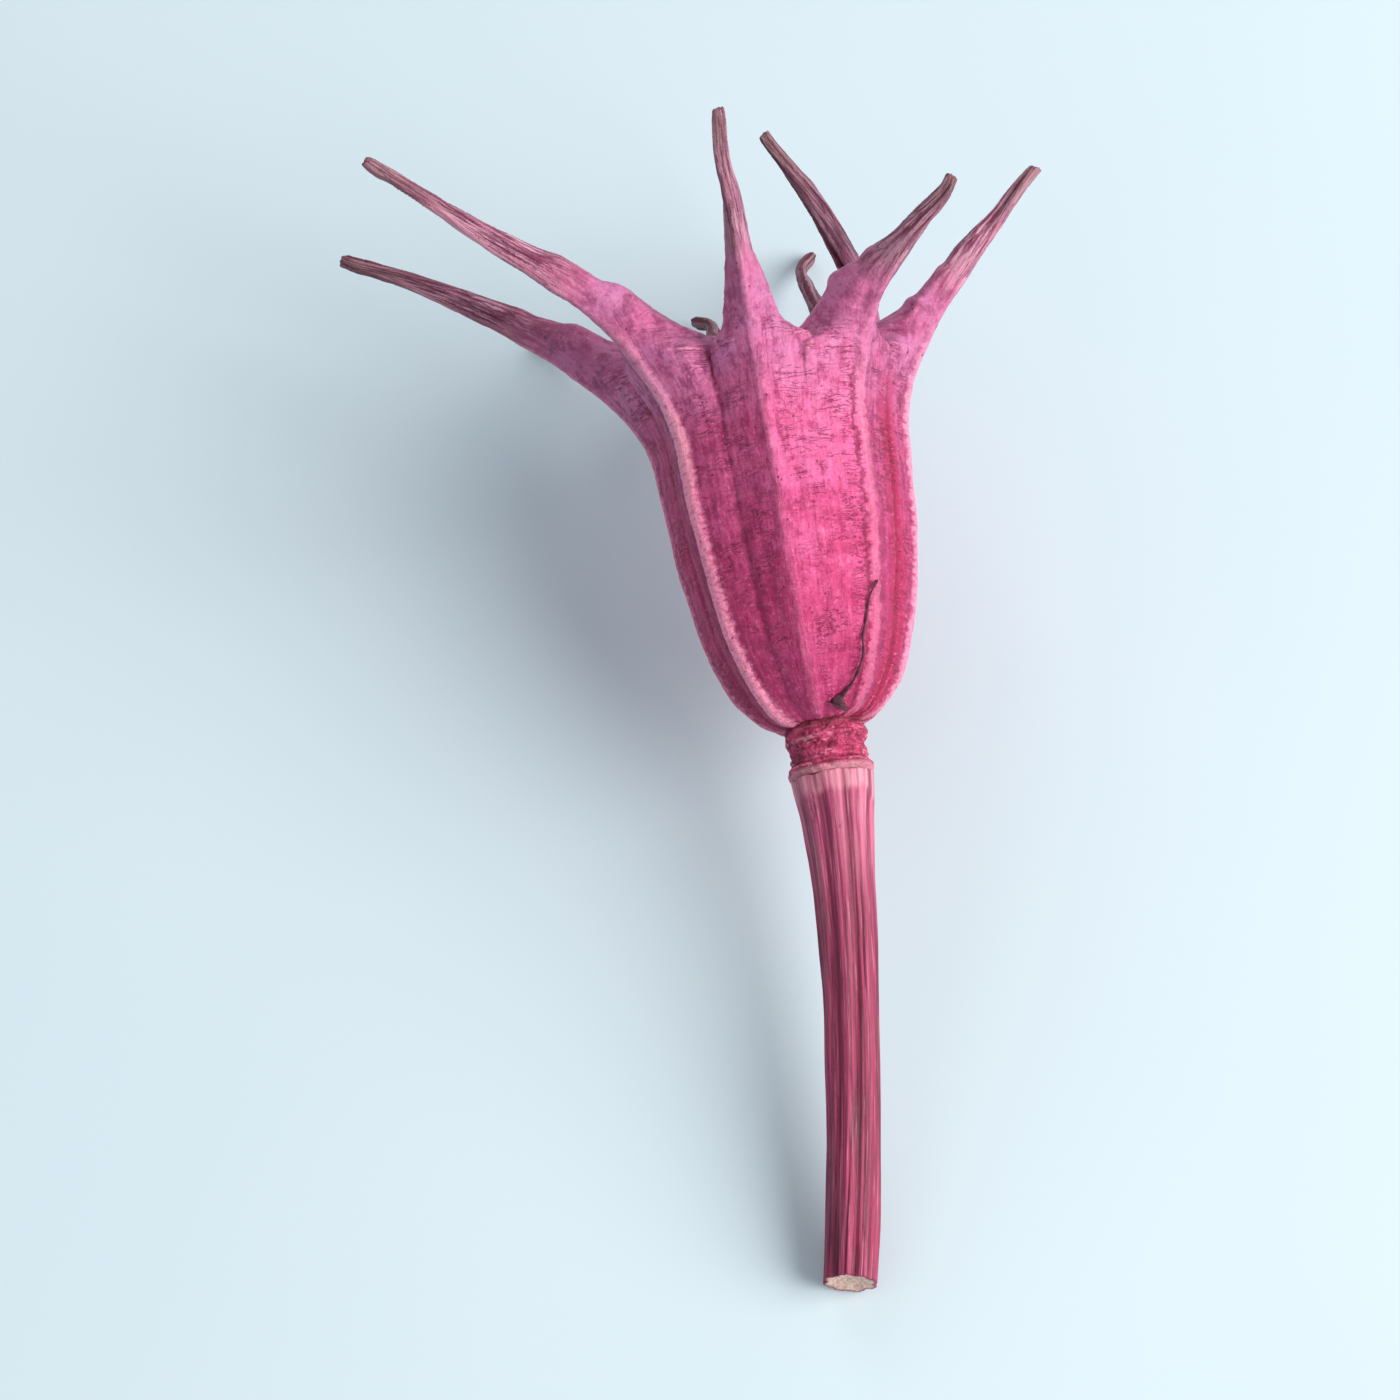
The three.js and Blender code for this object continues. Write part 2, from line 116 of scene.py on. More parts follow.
def pchip(x, y, xi):
    """Monotone cubic through the points: no overshoot."""
    x, y, xi = np.asarray(x, float), np.asarray(y, float), np.asarray(xi, float)
    h = np.diff(x)
    d = np.diff(y) / h
    m = np.zeros(len(x))
    for k in range(1, len(x) - 1):
        if d[k - 1] * d[k] > 0:
            w1, w2 = 2 * h[k] + h[k - 1], h[k] + 2 * h[k - 1]
            m[k] = (w1 + w2) / (w1 / d[k - 1] + w2 / d[k])
    m[0], m[-1] = d[0], d[-1]
    k = np.clip(np.searchsorted(x, xi) - 1, 0, len(h) - 1)
    t = np.clip((xi - x[k]) / h[k], 0, 1)
    return (
        (2 * t**3 - 3 * t**2 + 1) * y[k]
        + (t**3 - 2 * t**2 + t) * h[k] * m[k]
        + (-2 * t**3 + 3 * t**2) * y[k + 1]
        + (t**3 - t**2) * h[k] * m[k + 1]
    )


_perm = np.random.default_rng(7).permutation(256)
_perm = np.concatenate([_perm, _perm, _perm])
_grad = np.random.default_rng(11).normal(size=(256, 3))
_grad /= np.linalg.norm(_grad, axis=1)[:, None]


def noise3(p, seed=0):
    """Gradient noise, about -0.7 to 0.7, one value a row of p."""
    p = np.asarray(p, float) + seed * 17.31
    i = np.floor(p).astype(int)
    f = p - i
    u = f * f * f * (f * (f * 6 - 15) + 10)
    i &= 255
    out = np.zeros(len(p))
    for dx in (0, 1):
        for dy in (0, 1):
            for dz in (0, 1):
                g = _grad[_perm[_perm[_perm[(i[:, 0] + dx) & 255] + ((i[:, 1] + dy) & 255)] + ((i[:, 2] + dz) & 255)]]
                d = f - [dx, dy, dz]
                w = (
                    (u[:, 0] if dx else 1 - u[:, 0])
                    * (u[:, 1] if dy else 1 - u[:, 1])
                    * (u[:, 2] if dz else 1 - u[:, 2])
                )
                out += w * (g * d).sum(1)
    return out


def fbm(p, octaves=3, seed=0, gain=0.5):
    total, amp = 0.0, 1.0
    for k in range(octaves):
        total = total + amp * noise3(np.asarray(p) * 2**k, seed + 5 * k)
        amp *= gain
    return total


# ---------------------------------------------------------------- follicle lofts
def follicle(i):
    """Rings of one follicle in fine steps, with where each point sits on it."""
    f = FOLLICLES[i]
    n = len(FOLLICLES)
    left = FOLLICLES[(i + n - 1) % n]["az"] - (360 if i == 0 else 0)
    right = FOLLICLES[(i + 1) % n]["az"] + (360 if i == n - 1 else 0)
    half_left, half_right = rad(f["az"] - left) / 2, rad(right - f["az"]) / 2
    er = np.array([math.sin(rad(f["az"])), -math.cos(rad(f["az"])), 0])
    et = np.array([math.cos(rad(f["az"])), math.sin(rad(f["az"])), 0])
    up = np.array([0, 0, 1.0])

    # the keel's flare
    tip = np.array(f["tip"], float)
    p0, p1 = KEEL[-1], np.array([6.9, SHOULDER + 5.0])
    reach = np.hypot(*(tip - p1))
    p2 = tip - np.array([math.cos(rad(f["rise"])), math.sin(rad(f["rise"]))]) * reach * 0.5

    def flare(t):
        t = np.asarray(t)[:, None]
        return (1 - t) ** 3 * p0 + 3 * (1 - t) ** 2 * t * p1 + 3 * (1 - t) * t**2 * p2 + t**3 * tip

    def square(t):
        t = np.asarray(t)[:, None]
        d = 3 * (1 - t) ** 2 * (p1 - p0) + 6 * (1 - t) * t * (p2 - p1) + 3 * t**2 * (tip - p2)
        d /= np.linalg.norm(d, axis=1)[:, None]
        return np.stack([-d[:, 1], d[:, 0]], 1)

    tb = BLADE[:, 0]
    kb, sb = flare(tb), square(tb)
    rise_h = BLADE[:, 1] * (f["crest"] + (1 - f["crest"]) * sstep(0.5, 0.75, tb))
    out = kb[FREE] + sb[FREE] * rise_h[FREE]
    vb = np.zeros((len(tb), 2))
    for k in range(len(tb)):
        if k < ON_STAR:
            vb[k] = [0, SHOULDER + (STAR[1] - SHOULDER) * RISE[k]]
        elif k < FREE:
            u = (tb[k] - tb[ON_STAR]) / (tb[FREE] - tb[ON_STAR])
            vb[k] = STAR + (out - STAR) * u
            vb[k, 1] -= 0.35 * math.sin(math.pi * u)
        else:
            vb[k] = kb[k] + sb[k] * rise_h[k]

    # stations: the fused body, then the flare
    zb = np.concatenate([np.linspace(0, 1, 14)[:-1] ** 1.5 * 2.0, np.linspace(2.0, SHOULDER, 56)])
    rb = pchip(KEEL[:, 1], KEEL[:, 0], zb)
    q = zb / SHOULDER
    body = dict(
        K=np.stack([rb, zb], 1), V=np.stack([0 * zb, zb], 1),
        w=(1.95 + 0.45 * q) * np.minimum(1, rb / 5), lip=0.05 + 0 * zb, open=9 + 0 * zb,
        slit=0.02 + 0 * zb, depth=0.02 + 0 * zb, round=1.0 + 0.3 * q, t=-1 + q, fused=1 + 0 * zb,
    )
    tf = np.concatenate([np.linspace(0, 0.27, 20)[1:], np.linspace(0.27, 0.62, 88)[1:], np.linspace(0.62, 1.0, 84)[1:]])
    tk = np.concatenate([[0], tb])
    col = lambda first, values: pchip(tk, np.concatenate([[first], values]), tf)
    V = np.stack([
        pchip(np.concatenate([[0], tb]), np.concatenate([[0], vb[:, 0]]), tf),
        pchip(np.concatenate([[0], tb]), np.concatenate([[SHOULDER], vb[:, 1]]), tf),
    ], 1)
    opening = np.where(np.arange(len(tb)) < FREE, 0.75, 0.9)
    rounding = np.where(np.arange(len(tb)) < FREE, np.where(np.arange(len(tb)) < ON_STAR, 1.3, 1.5), np.maximum(0.35, 0.5 * BLADE[:, 1]))
    flared = dict(
        K=flare(tf), V=V, w=col(2.4, BLADE[:, 2]), lip=col(0.05, BLADE[:, 3]),
        open=col(9, opening), slit=col(0.02, BLADE[:, 4]), depth=col(0.02, BLADE[:, 5]),
        round=col(1.3, rounding), t=tf, fused=1 - sstep(0.27, 0.335, tf),
    )
    S = {k: np.concatenate([body[k], flared[k]]) for k in body}
    t = S["t"]

    # each beak has its own small bends and a softly uneven lip line
    phase = i * 2.39
    ribbon = sstep(0.6, 0.95, t)
    ribbon = ribbon * WANDER[i]
    wander = ribbon * (0.34 * np.sin(7.5 * t * 2 + phase) + 0.16 * np.sin(17 * t + 2 * phase))
    nod = ribbon * (0.26 * np.sin(11 * t + 1.7 * phase))
    S["K"][:, 1] += nod
    S["V"][:, 1] += nod
    ribbon = sstep(0.6, 0.95, t)
    crest = sstep(0.36, 0.42, t) * (1 - sstep(0.56, 0.66, t))
    S["V"][:, 1] += crest * (0.10 * np.sin(42 * t + phase) + 0.04 * np.sin(95 * t + 3 * phase))
    # the tip: a slightly swollen, withered stigma end
    swell = np.exp(-(((t - 0.965) / 0.02) ** 2))
    S["w"] = S["w"] * (1 + 0.35 * swell) * np.sqrt(np.clip((1.004 - t) / 0.02, 0.05, 1))
    S["lip"] = S["lip"] * np.sqrt(np.clip((1.004 - t) / 0.02, 0.05, 1))

    a = S["K"]
    across = S["V"] - a
    length = np.linalg.norm(across, axis=1)
    across = across / np.maximum(length, 1e-9)[:, None]
    mid = a + across * (length / 2)[:, None]
    shift = f["lean"] * sstep(0.35, 1.0, t) + wander
    spin = rad(f["twist"]) * sstep(0.66, 1, t)

    m = 30
    tau = 0.5 + 0.5 * np.cos(np.linspace(0, math.pi, m))  # 1 at the keel, 0 at the suture
    tau = np.broadcast_to(tau, (len(t), m))
    L = length[:, None]

    def half(tau, wedge, full):
        from_keel, from_suture = (1 - tau) * L, tau * L
        r = np.maximum(S["V"][:, :1] + (a[:, :1] - S["V"][:, :1]) * tau, 0)
        qq = np.minimum(from_keel / S["round"][:, None], 1)
        w = KEEL_EDGE + (S["w"] * (1 + (full - 1) * S["fused"]))[:, None] * (1 - (1 - qq) ** 1.6)
        o = S["lip"][:, None] + S["open"][:, None] * from_suture
        # a lift for the thin walls beside the open suture, set to zero here
        o = o + 0.0 * crest[:, None]
        hh = np.maximum(0.25 - np.abs(w - o), 0) / 0.25
        w = np.minimum(w, o) - hh * hh * 0.25 / 4
        w = np.minimum(w, r * math.tan(wedge) * 1.12 + 0.12)
        # the ribbon of the style is channelled along its flat sides
        w = w * (1 - 0.42 * ribbon[:, None] * np.exp(-(((tau - 0.55) / 0.17) ** 2)))
        return np.maximum(w, 0.035)

    def place(sigma, side):
        aa, bb = L / 2 - sigma, side
        c, s = np.cos(spin)[:, None], np.sin(spin)[:, None]
        aa, bb = aa * c - bb * s, aa * s + bb * c
        return (
            er * (mid[:, :1] + across[:, :1] * aa)[..., None]
            + et * (bb + shift[:, None])[..., None]
            + up * (mid[:, 1:] + across[:, 1:] * aa)[..., None]
        )

    hr, hl = half(tau, half_right, f["full"][1]), half(tau, half_left, f["full"][0])
    slit = np.minimum(S["slit"], np.minimum(hr[:, -1], hl[:, -1]) * 0.62)[:, None]
    depth = S["depth"][:, None]
    notch_s = np.array([0.0, 0.25, 0.6, 0.9, 1.0, 0.9, 0.6, 0.25, 0.0])[None, :] * depth
    notch_w = np.array([1, 0.97, 0.85, 0.5, 0, -0.5, -0.85, -0.97, -1.0])[None, :] * slit
    ring = np.concatenate([
        place(tau * L, hr), place(notch_s, notch_w), place(tau[:, ::-1] * L, -hl[:, ::-1]),
    ], 1)
    tau_all = np.concatenate([tau, 0 * notch_s, tau[:, ::-1]], 1)
    inner = np.concatenate([0 * tau, 0 * notch_s + 1, 0 * tau], 1)
    side = np.concatenate([hr, notch_w, -hl[:, ::-1]], 1)
    arc = np.concatenate([[0], np.cumsum(np.linalg.norm(np.diff(a, axis=0), axis=1))])
    return dict(
        ring=ring, tau=tau_all, inner=inner, side=side, t=np.broadcast_to(t[:, None], tau_all.shape),
        arc=np.broadcast_to(arc[:, None], tau_all.shape), fid=np.full(tau_all.shape, float(i)),
        L=np.broadcast_to(L, tau_all.shape),
    )


def skin(ring):
    """Quads over a row of rings, closed with a fan at each end."""
    k, n = ring.shape[:2]
    idx = np.arange(k * n).reshape(k, n)
    nxt = np.roll(idx, -1, axis=1)
    quads = np.stack([idx[:-1], nxt[:-1], nxt[1:], idx[1:]], -1).reshape(-1, 4)
    verts = np.concatenate([ring.reshape(-1, 3), ring[:1].mean(1), ring[-1:].mean(1)])
    a, b = k * n, k * n + 1
    low = np.stack([nxt[0], idx[0], np.full(n, a)], -1)
    high = np.stack([idx[-1], nxt[-1], np.full(n, b)], -1)
    return verts, quads, np.concatenate([low, high])


def mesh_from(name, verts, quads, tris=None):
    me = bpy.data.meshes.new(name)
    faces = [quads]
    loops = [quads.ravel()]
    starts = [np.arange(len(quads)) * quads.shape[1]]
    if tris is not None and len(tris):
        loops.append(tris.ravel())
        starts.append(len(quads) * quads.shape[1] + np.arange(len(tris)) * 3)
    loops, starts = np.concatenate(loops), np.concatenate(starts)
    me.vertices.add(len(verts))
    me.vertices.foreach_set("co", np.asarray(verts, np.float32).ravel())
    me.loops.add(len(loops))
    me.loops.foreach_set("vertex_index", loops.astype(np.int32))
    me.polygons.add(len(starts))
    me.polygons.foreach_set("loop_start", starts.astype(np.int32))
    me.update(calc_edges=True)
    me.validate()
    return me


def read(me):
    co = np.empty(len(me.vertices) * 3, np.float32)
    me.vertices.foreach_get("co", co)
    ed = np.empty(len(me.edges) * 2, np.int32)
    me.edges.foreach_get("vertices", ed)
    return co.reshape(-1, 3).astype(float), ed.reshape(-1, 2)


def normals(me):
    no = np.empty(len(me.vertices) * 3, np.float32)
    me.vertex_normals.foreach_get("vector", no)
    return no.reshape(-1, 3).astype(float)


def applied(me, add):
    """The mesh with a modifier applied."""
    ob = bpy.data.objects.new("work", me)
    bpy.context.scene.collection.objects.link(ob)
    add(ob)
    dg = bpy.context.evaluated_depsgraph_get()
    made = bpy.data.meshes.new_from_object(ob.evaluated_get(dg))
    bpy.data.objects.remove(ob)
    return made


def averaged(x, ed, count, times, lam=1.0):
    """Each value pulled towards the mean of its neighbours, a number of times."""
    i, j = ed[:, 0], ed[:, 1]
    x = np.array(x, float)
    flat = x.ndim == 1
    if flat:
        x = x[:, None]
    deg = np.maximum(np.bincount(i, minlength=count) + np.bincount(j, minlength=count), 1)[:, None]
    for k in range(times):
        s = np.stack([
            np.bincount(i, weights=x[j, c], minlength=count) + np.bincount(j, weights=x[i, c], minlength=count)
            for c in range(x.shape[1])
        ], 1)
        step = lam[k % len(lam)] if isinstance(lam, (list, tuple)) else lam
        x = x + step * (s / deg - x)
    return x[:, 0] if flat else x


def tree_of(points):
    kd = KDTree(len(points))
    for k, p in enumerate(points):
        kd.insert(p, k)
    kd.balance()
    return kd


def nearest(kd, points):
    find = kd.find
    return np.fromiter((find(p)[1] for p in points), int, len(points))


# ---------------------------------------------------------------- the capsule
VOXEL = 0.075
TRIANGLES = 190_000

parts = [follicle(i) for i in range(len(FOLLICLES))]
verts, quads, tris, info, base = [], [], [], {k: [] for k in ("tau", "inner", "side", "t", "arc", "fid", "L")}, 0
for p in parts:
    v, qd, tr = skin(p["ring"])
    verts.append(v)
    quads.append(qd + base)
    tris.append(tr + base)
    for k in info:
        flat = p[k].ravel()
        info[k].append(np.concatenate([flat, flat[[0, -1]]]))
    base += len(v)
verts, quads, tris = np.concatenate(verts), np.concatenate(quads), np.concatenate(tris)
info = {k: np.concatenate(v) for k, v in info.items()}


def add_remesh(ob):
    mod = ob.modifiers.new("voxels", "REMESH")
    mod.mode = "VOXEL"
    mod.voxel_size = VOXEL
    mod.adaptivity = 0


fused = applied(mesh_from("lofts", verts, quads, tris), add_remesh)
P, E = read(fused)
P = averaged(P, E, len(P), 8, [0.5, -0.52])
fused.vertices.foreach_set("co", P.astype(np.float32).ravel())
fused.update()

kd = tree_of(verts)
near = nearest(kd, P)
at = {k: v[near] for k, v in info.items()}
AZ = np.array([rad(f["az"]) for f in FOLLICLES])
ET = np.stack([np.cos(AZ), np.sin(AZ), 0 * AZ], 1)
fid = at["fid"].astype(int)
lean = np.array([f["lean"] for f in FOLLICLES])
lat = (P * ET[fid]).sum(1)
flank = at["side"]
t = averaged(at["t"], E, len(P), 6, 0.5)
arc = averaged(at["arc"], E, len(P), 6, 0.5)
tau = averaged(at["tau"], E, len(P), 4, 0.5)
inner = averaged(at["inner"], E, len(P), 2, 0.5)
theta = np.arctan2(P[:, 0], -P[:, 1])
radius = np.hypot(P[:, 0], P[:, 1])
# how far each point is from the nearest keel and the nearest groove, round the body
order = np.sort(np.mod(AZ, 2 * math.pi))
mids = np.sort(np.mod((order + np.roll(order, -1) + np.where(np.arange(9) == 8, 2 * math.pi, 0)) / 2, 2 * math.pi))


def angular(th, marks):
    d = np.abs(np.mod(th[:, None] - marks[None, :] + math.pi, 2 * math.pi) - math.pi)
    return d.min(1)


groove = angular(theta, mids) * radius
on_body = 1 - sstep(-0.02, 0.30, t)
blade = sstep(0.25, 0.42, t)
ribbon = sstep(0.58, 0.74, t)
wall = (1 - inner)
keel_d = np.where(t < 0.3, np.abs(lat - 0), np.abs(flank))
keel_d = averaged(keel_d, E, len(P), 3, 0.5)

# how strongly each follicle's nerve stands out, and how dark each flank is coloured: part dye, part painted shade
NERVE = np.array([0.60, 1.0, 0.12, 0.30, 0.90, 0.7, 0.9, 0.5, 0.8])
RAIL = np.array([0.2, 0.1, 0.0, 0.85, 0.2, 0.6, 0.2, 0.8, 0.2])  # the dark line left of each nerve: a shallow groove, and painted shade on the ridge's side away from the light
ASH = np.array([0.42, 0.05, 0.60, 0.66, 0.05, 1.0, 1.0, 1.0, 0.6])  # how brown-grey each beak is
DYE_AND_SHADE_LEFT = np.array([0.45, 0.80, 0.52, 0.10, 0.70, 0.5, 0.3, 0.7, 0.5])
DYE_AND_SHADE_RIGHT = np.array([0.70, 0.54, 0.06, 0.74, 0.55, 0.3, 0.7, 0.4, 0.6])
SEAM = np.array([0.6, 0.25, 0.10, 1.0, 0.6, 0.5, 0.6, 0.5, 0.6])  # the groove right of each keel: how deep it is, and how much painted shade it gets
side_of = np.where(t < 0.3, lat, flank)
right_side = sstep(-0.12, 0.12, side_of)
# each flank's darkness is part dye, part painted shade
dye_and_shade = DYE_AND_SHADE_LEFT[fid] * (1 - right_side) + DYE_AND_SHADE_RIGHT[fid] * right_side
dye_and_shade = averaged(dye_and_shade, E, len(P), 14, 0.6)
band_of = averaged(NERVE[fid], E, len(P), 4, 0.6)
rail_of = averaged(np.where(side_of < 0, RAIL[fid], 0.0), E, len(P), 2, 0.6)
ash_of = averaged(ASH[fid], E, len(P), 6, 0.6)
seam_of = averaged(np.where(side_of > 0, SEAM[fid], SEAM[(fid + 8) % 9]), E, len(P), 10, 0.6)

# relief
N = normals(fused)
U = np.stack([np.sin(theta) * 6.2, -np.cos(theta) * 6.2, arc], 1)  # round the pod and along its walls
lift = np.zeros(len(P))
nerve = np.exp(-((keel_d / (0.18 + 0.22 * band_of)) ** 4)) * sstep(0.3, 2.2, P[:, 2]) * (tau > 0.5)
lift += (1 - ribbon) * nerve * band_of * (0.10 + 0.03 * noise3(U * [0.3, 0.3, 0.6]))
lift -= (1 - ribbon) * (0.02 * band_of + 0.045 * rail_of) * np.exp(-(((keel_d - 0.55) / 0.16) ** 2)) * (tau > 0.4)
lift -= on_body * seam_of * 0.07 * np.exp(-((groove / 0.2) ** 2))
lift += (1 - ribbon) * 0.16 * noise3(P * 0.33, 3)                                  # uneven shrinkage
lift += (1 - ribbon) * 0.10 * fbm(U * [1.1, 1.1, 0.22], 2, 8)                        # lengthwise folds
veins = 1 - np.abs(fbm(U * [0.55, 0.55, 1.9] + 0.5 * noise3(P * 0.9, 2)[:, None], 2, 21)) * 6
lift += (1 - ribbon) * 0.030 * np.clip(veins, 0, 1) * sstep(0.5, 1.0, keel_d)
lift += (1 - ribbon) * 0.035 * fbm(P * 2.2, 2, 31)
star = sstep(0.30, 0.36, t) * (1 - ribbon) * sstep(0.75, 0.35, tau)
lift += star * 0.09 * fbm(np.stack([theta * 9.0, radius * 0.35, P[:, 2] * 0.3], 1), 2, 41)
lift += ribbon * 0.15 * fbm(np.stack([flank * 5, tau * 5, arc * 0.35 + fid * 7], 1), 3, 51)
lift += ribbon * 0.05 * noise3(np.stack([flank, tau * 2, arc * 0.9 + fid * 7], 1), 53)
lift *= 1 - 0.8 * inner
P2 = P + N * lift[:, None]
P2 = averaged(P2, E, len(P2), 2, [0.4, -0.41])
fused.vertices.foreach_set("co", P2.astype(np.float32).ravel())
fused.update()

# convexity at two scales, for painted shade in the hollows and paler crests
N2 = normals(fused)
fine = ((P2 - averaged(P2, E, len(P2), 6, 0.6)) * N2).sum(1)
coarse = ((P2 - averaged(P2, E, len(P2), 60, 0.7)) * N2).sum(1)


def add_thin(ob):
    mod = ob.modifiers.new("thin", "DECIMATE")
    mod.ratio = min(1.0, TRIANGLES / (2.0 * len(fused.polygons)))


thin = applied(fused, add_thin)
Q, EQ = read(thin)
pick = nearest(tree_of(P2), Q)
thin.vertices.foreach_set("co", lay(Q).astype(np.float32).ravel())
thin.update()


def attribute(me, name, values):
    a = me.attributes.new(name, "FLOAT", "POINT")
    a.data.foreach_set("value", np.asarray(values, np.float32))


mm = 1.0
attribute(thin, "keel_d", keel_d[pick])
attribute(thin, "groove_d", np.where(t < 0.45, groove, 3.0)[pick])
attribute(thin, "lat", np.where(t < 0.3, lat, flank)[pick])
attribute(thin, "along", arc[pick])
attribute(thin, "east", U[pick, 0])
attribute(thin, "south", U[pick, 1])
attribute(thin, "fid", at["fid"][pick])
attribute(thin, "t", t[pick])
attribute(thin, "tau", tau[pick])
attribute(thin, "inner", inner[pick])
attribute(thin, "height", P2[pick, 2])
attribute(thin, "fine", np.clip(fine[pick] / 0.03, -1, 1))
attribute(thin, "coarse", np.clip(coarse[pick] / 0.35, -1, 1))
attribute(thin, "dye_and_shade", dye_and_shade[pick])
attribute(thin, "band", band_of[pick])
attribute(thin, "seam", seam_of[pick])
attribute(thin, "rail", rail_of[pick])
attribute(thin, "ash", ash_of[pick])


def shade_smooth(me):
    me.polygons.foreach_set("use_smooth", np.ones(len(me.polygons), bool))
    me.update()


shade_smooth(thin)
capsule = bpy.data.objects.new("capsule_skin", thin)
bpy.context.scene.collection.objects.link(capsule)
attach(capsule, "root")
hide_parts("seed_capsule")
skin_tree = BVHTree.FromPolygons([Vector(p) for p in P2], [tuple(p.vertices) for p in fused.polygons])

# ---------------------------------------------------------------- receptacle
RECEPTACLE = [[1.86, 0.12], [2.02, -0.12], [2.06, -0.45], [2.0, -0.75], [1.9, -1.25], [1.86, -1.7], [2.08, -2.1], [2.12, -2.3], [2.0, -2.6]]


def turned(profile, sides, steps):
    pr = np.array(profile, float)
    s = np.concatenate([[0], np.cumsum(np.linalg.norm(np.diff(pr, axis=0), axis=1))])
    si = np.linspace(0, s[-1], steps)
    r, z = pchip(s, pr[:, 0], si), np.interp(si, s, pr[:, 1])
    a = np.linspace(0, 2 * math.pi, sides, endpoint=False)
    return np.stack([
        r[:, None] * np.cos(a), r[:, None] * np.sin(a), np.broadcast_to(z[:, None], (steps, sides)),
    ], -1), a, z


ring, ang, zz = turned(RECEPTACLE, 200, 96)
pts = ring.reshape(-1, 3)
out = pts * [1, 1, 0]
out /= np.linalg.norm(out, axis=1)[:, None]
aa = np.arctan2(pts[:, 1], pts[:, 0])
bark = (
    0.11 * fbm(np.stack([np.cos(aa) * 2.6, np.sin(aa) * 2.6, pts[:, 2] * 1.8], 1), 4, 61)
    + 0.10 * np.clip(fbm(np.stack([np.cos(aa) * 5, np.sin(aa) * 5, pts[:, 2] * 3.6], 1), 2, 64), 0, 1)
)
rows = np.sin(pts[:, 2] * 7.5 + 1.2 * np.sin(aa * 3)) * 0.05
frayed = np.exp(-(((pts[:, 2] + 0.05) / 0.22) ** 2)) * 0.16 * noise3(np.stack([np.cos(aa) * 7, np.sin(aa) * 7, 0 * aa], 1), 66)
hem = np.exp(-(((pts[:, 2] + 2.28) / 0.2) ** 2)) * 0.16 * noise3(np.stack([np.cos(aa) * 5, np.sin(aa) * 5, 0 * aa], 1), 67)
pts = pts + out * (bark + rows + frayed + hem)[:, None]
# scars of fallen petals and stamens: low bosses in two rows
rng = np.random.default_rng(5)
for row_z, count in ((-0.75, 10), (-1.35, 11), (-1.9, 9)):
    for k in range(count):
        c = 2 * math.pi * (k + rng.uniform(-0.3, 0.3)) / count
        cz = row_z + rng.uniform(-0.2, 0.2)
        d2 = ((np.mod(aa - c + math.pi, 2 * math.pi) - math.pi) * 2.0) ** 2 + (pts[:, 2] - cz) ** 2
        pts = pts + out * (0.13 * np.exp(-d2 / 0.04) - 0.09 * np.exp(-d2 / 0.012))[:, None] * rng.uniform(0.4, 1.2)
v, qd, tr = skin(pts.reshape(ring.shape)[::-1])
recept = mesh_from("receptacle_bark", lay(v), qd, tr)
attribute(recept, "along", np.concatenate([pts.reshape(ring.shape)[::-1].reshape(-1, 3)[:, 2], [0, 0]]))
shade_smooth(recept)
knob = bpy.data.objects.new("receptacle_bark", recept)
bpy.context.scene.collection.objects.link(knob)
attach(knob, "root")
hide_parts("receptacle")

# ---------------------------------------------------------------- stem
STEM_TOP, STEM_LENGTH = -2.45 - 0.3, 25.0
STEM_RADII = np.array([[0, 2.05], [0.03, 1.98], [0.1, 1.76], [0.3, 1.5], [0.6, 1.4], [1, 1.36]])
BEND = (-2.9, 0.7)
CUT = rad(16)


def stem_axis(u):
    uu = np.maximum(u, 0)
    return np.stack([BEND[0] * uu**1.7, BEND[1] * u * u, STEM_TOP + 0.12 - (STEM_LENGTH + 0.12) * u], -1)


steps, sides = 300, 168
u = np.linspace(0, 1, steps)
centre = stem_axis(u)
axis = stem_axis(u + 1e-3) - stem_axis(u - 1e-3)
axis /= np.linalg.norm(axis, axis=1)[:, None]
x = np.array([1.0, 0, 0]) - axis * axis[:, :1]
x /= np.linalg.norm(x, axis=1)[:, None]
y = -np.cross(axis, x)
a = np.linspace(0, 2 * math.pi, sides, endpoint=False)
al = (u * STEM_LENGTH)[:, None] + 0 * a
turn = a[None, :] + 0.012 * al
rr = pchip(STEM_RADII[:, 0], STEM_RADII[:, 1], u)[:, None]
circ = lambda k, s=0: np.stack([np.cos(turn) * k, np.sin(turn) * k, al * 0 + s], -1)
warp = 0.9 * noise3(np.stack([np.cos(turn), np.sin(turn), al * 0.10], -1).reshape(-1, 3) * 1.3, 71).reshape(turn.shape)
ribs = 0.5 - 0.5 * np.cos(8 * turn + warp * 2.2)
stria = noise3((circ(9.0) + np.stack([0 * al, 0 * al, al * 0.10], -1)).reshape(-1, 3), 72).reshape(turn.shape)
hair = noise3((circ(19.0) + np.stack([0 * al, 0 * al, al * 0.16], -1)).reshape(-1, 3), 73).reshape(turn.shape)
lumps = noise3((circ(1.2) + np.stack([0 * al, 0 * al, al * 0.25], -1)).reshape(-1, 3), 74).reshape(turn.shape)
rel = -0.17 * ribs**1.4 * (1 + 0.9 * lumps) + 0.11 * stria + 0.05 * hair + 0.10 * lumps
# peeled skin at the head: a ragged, slightly flared cuff that ends in steps
cuff_edge = 1.0 + 0.9 * noise3(circ(1.5, 3.3).reshape(-1, 3), 75).reshape(turn.shape) + 0.35 * noise3(circ(4, 1.3).reshape(-1, 3), 76).reshape(turn.shape)
cuff = 1 - sstep(-0.22, 0.22, al - cuff_edge)
rel = rel * (1 - 0.55 * cuff) + 0.04 * cuff
R = rr + rel
ring = centre[:, None, :] + x[:, None, :] * (R * np.cos(a))[..., None] + y[:, None, :] * (R * np.sin(a))[..., None]
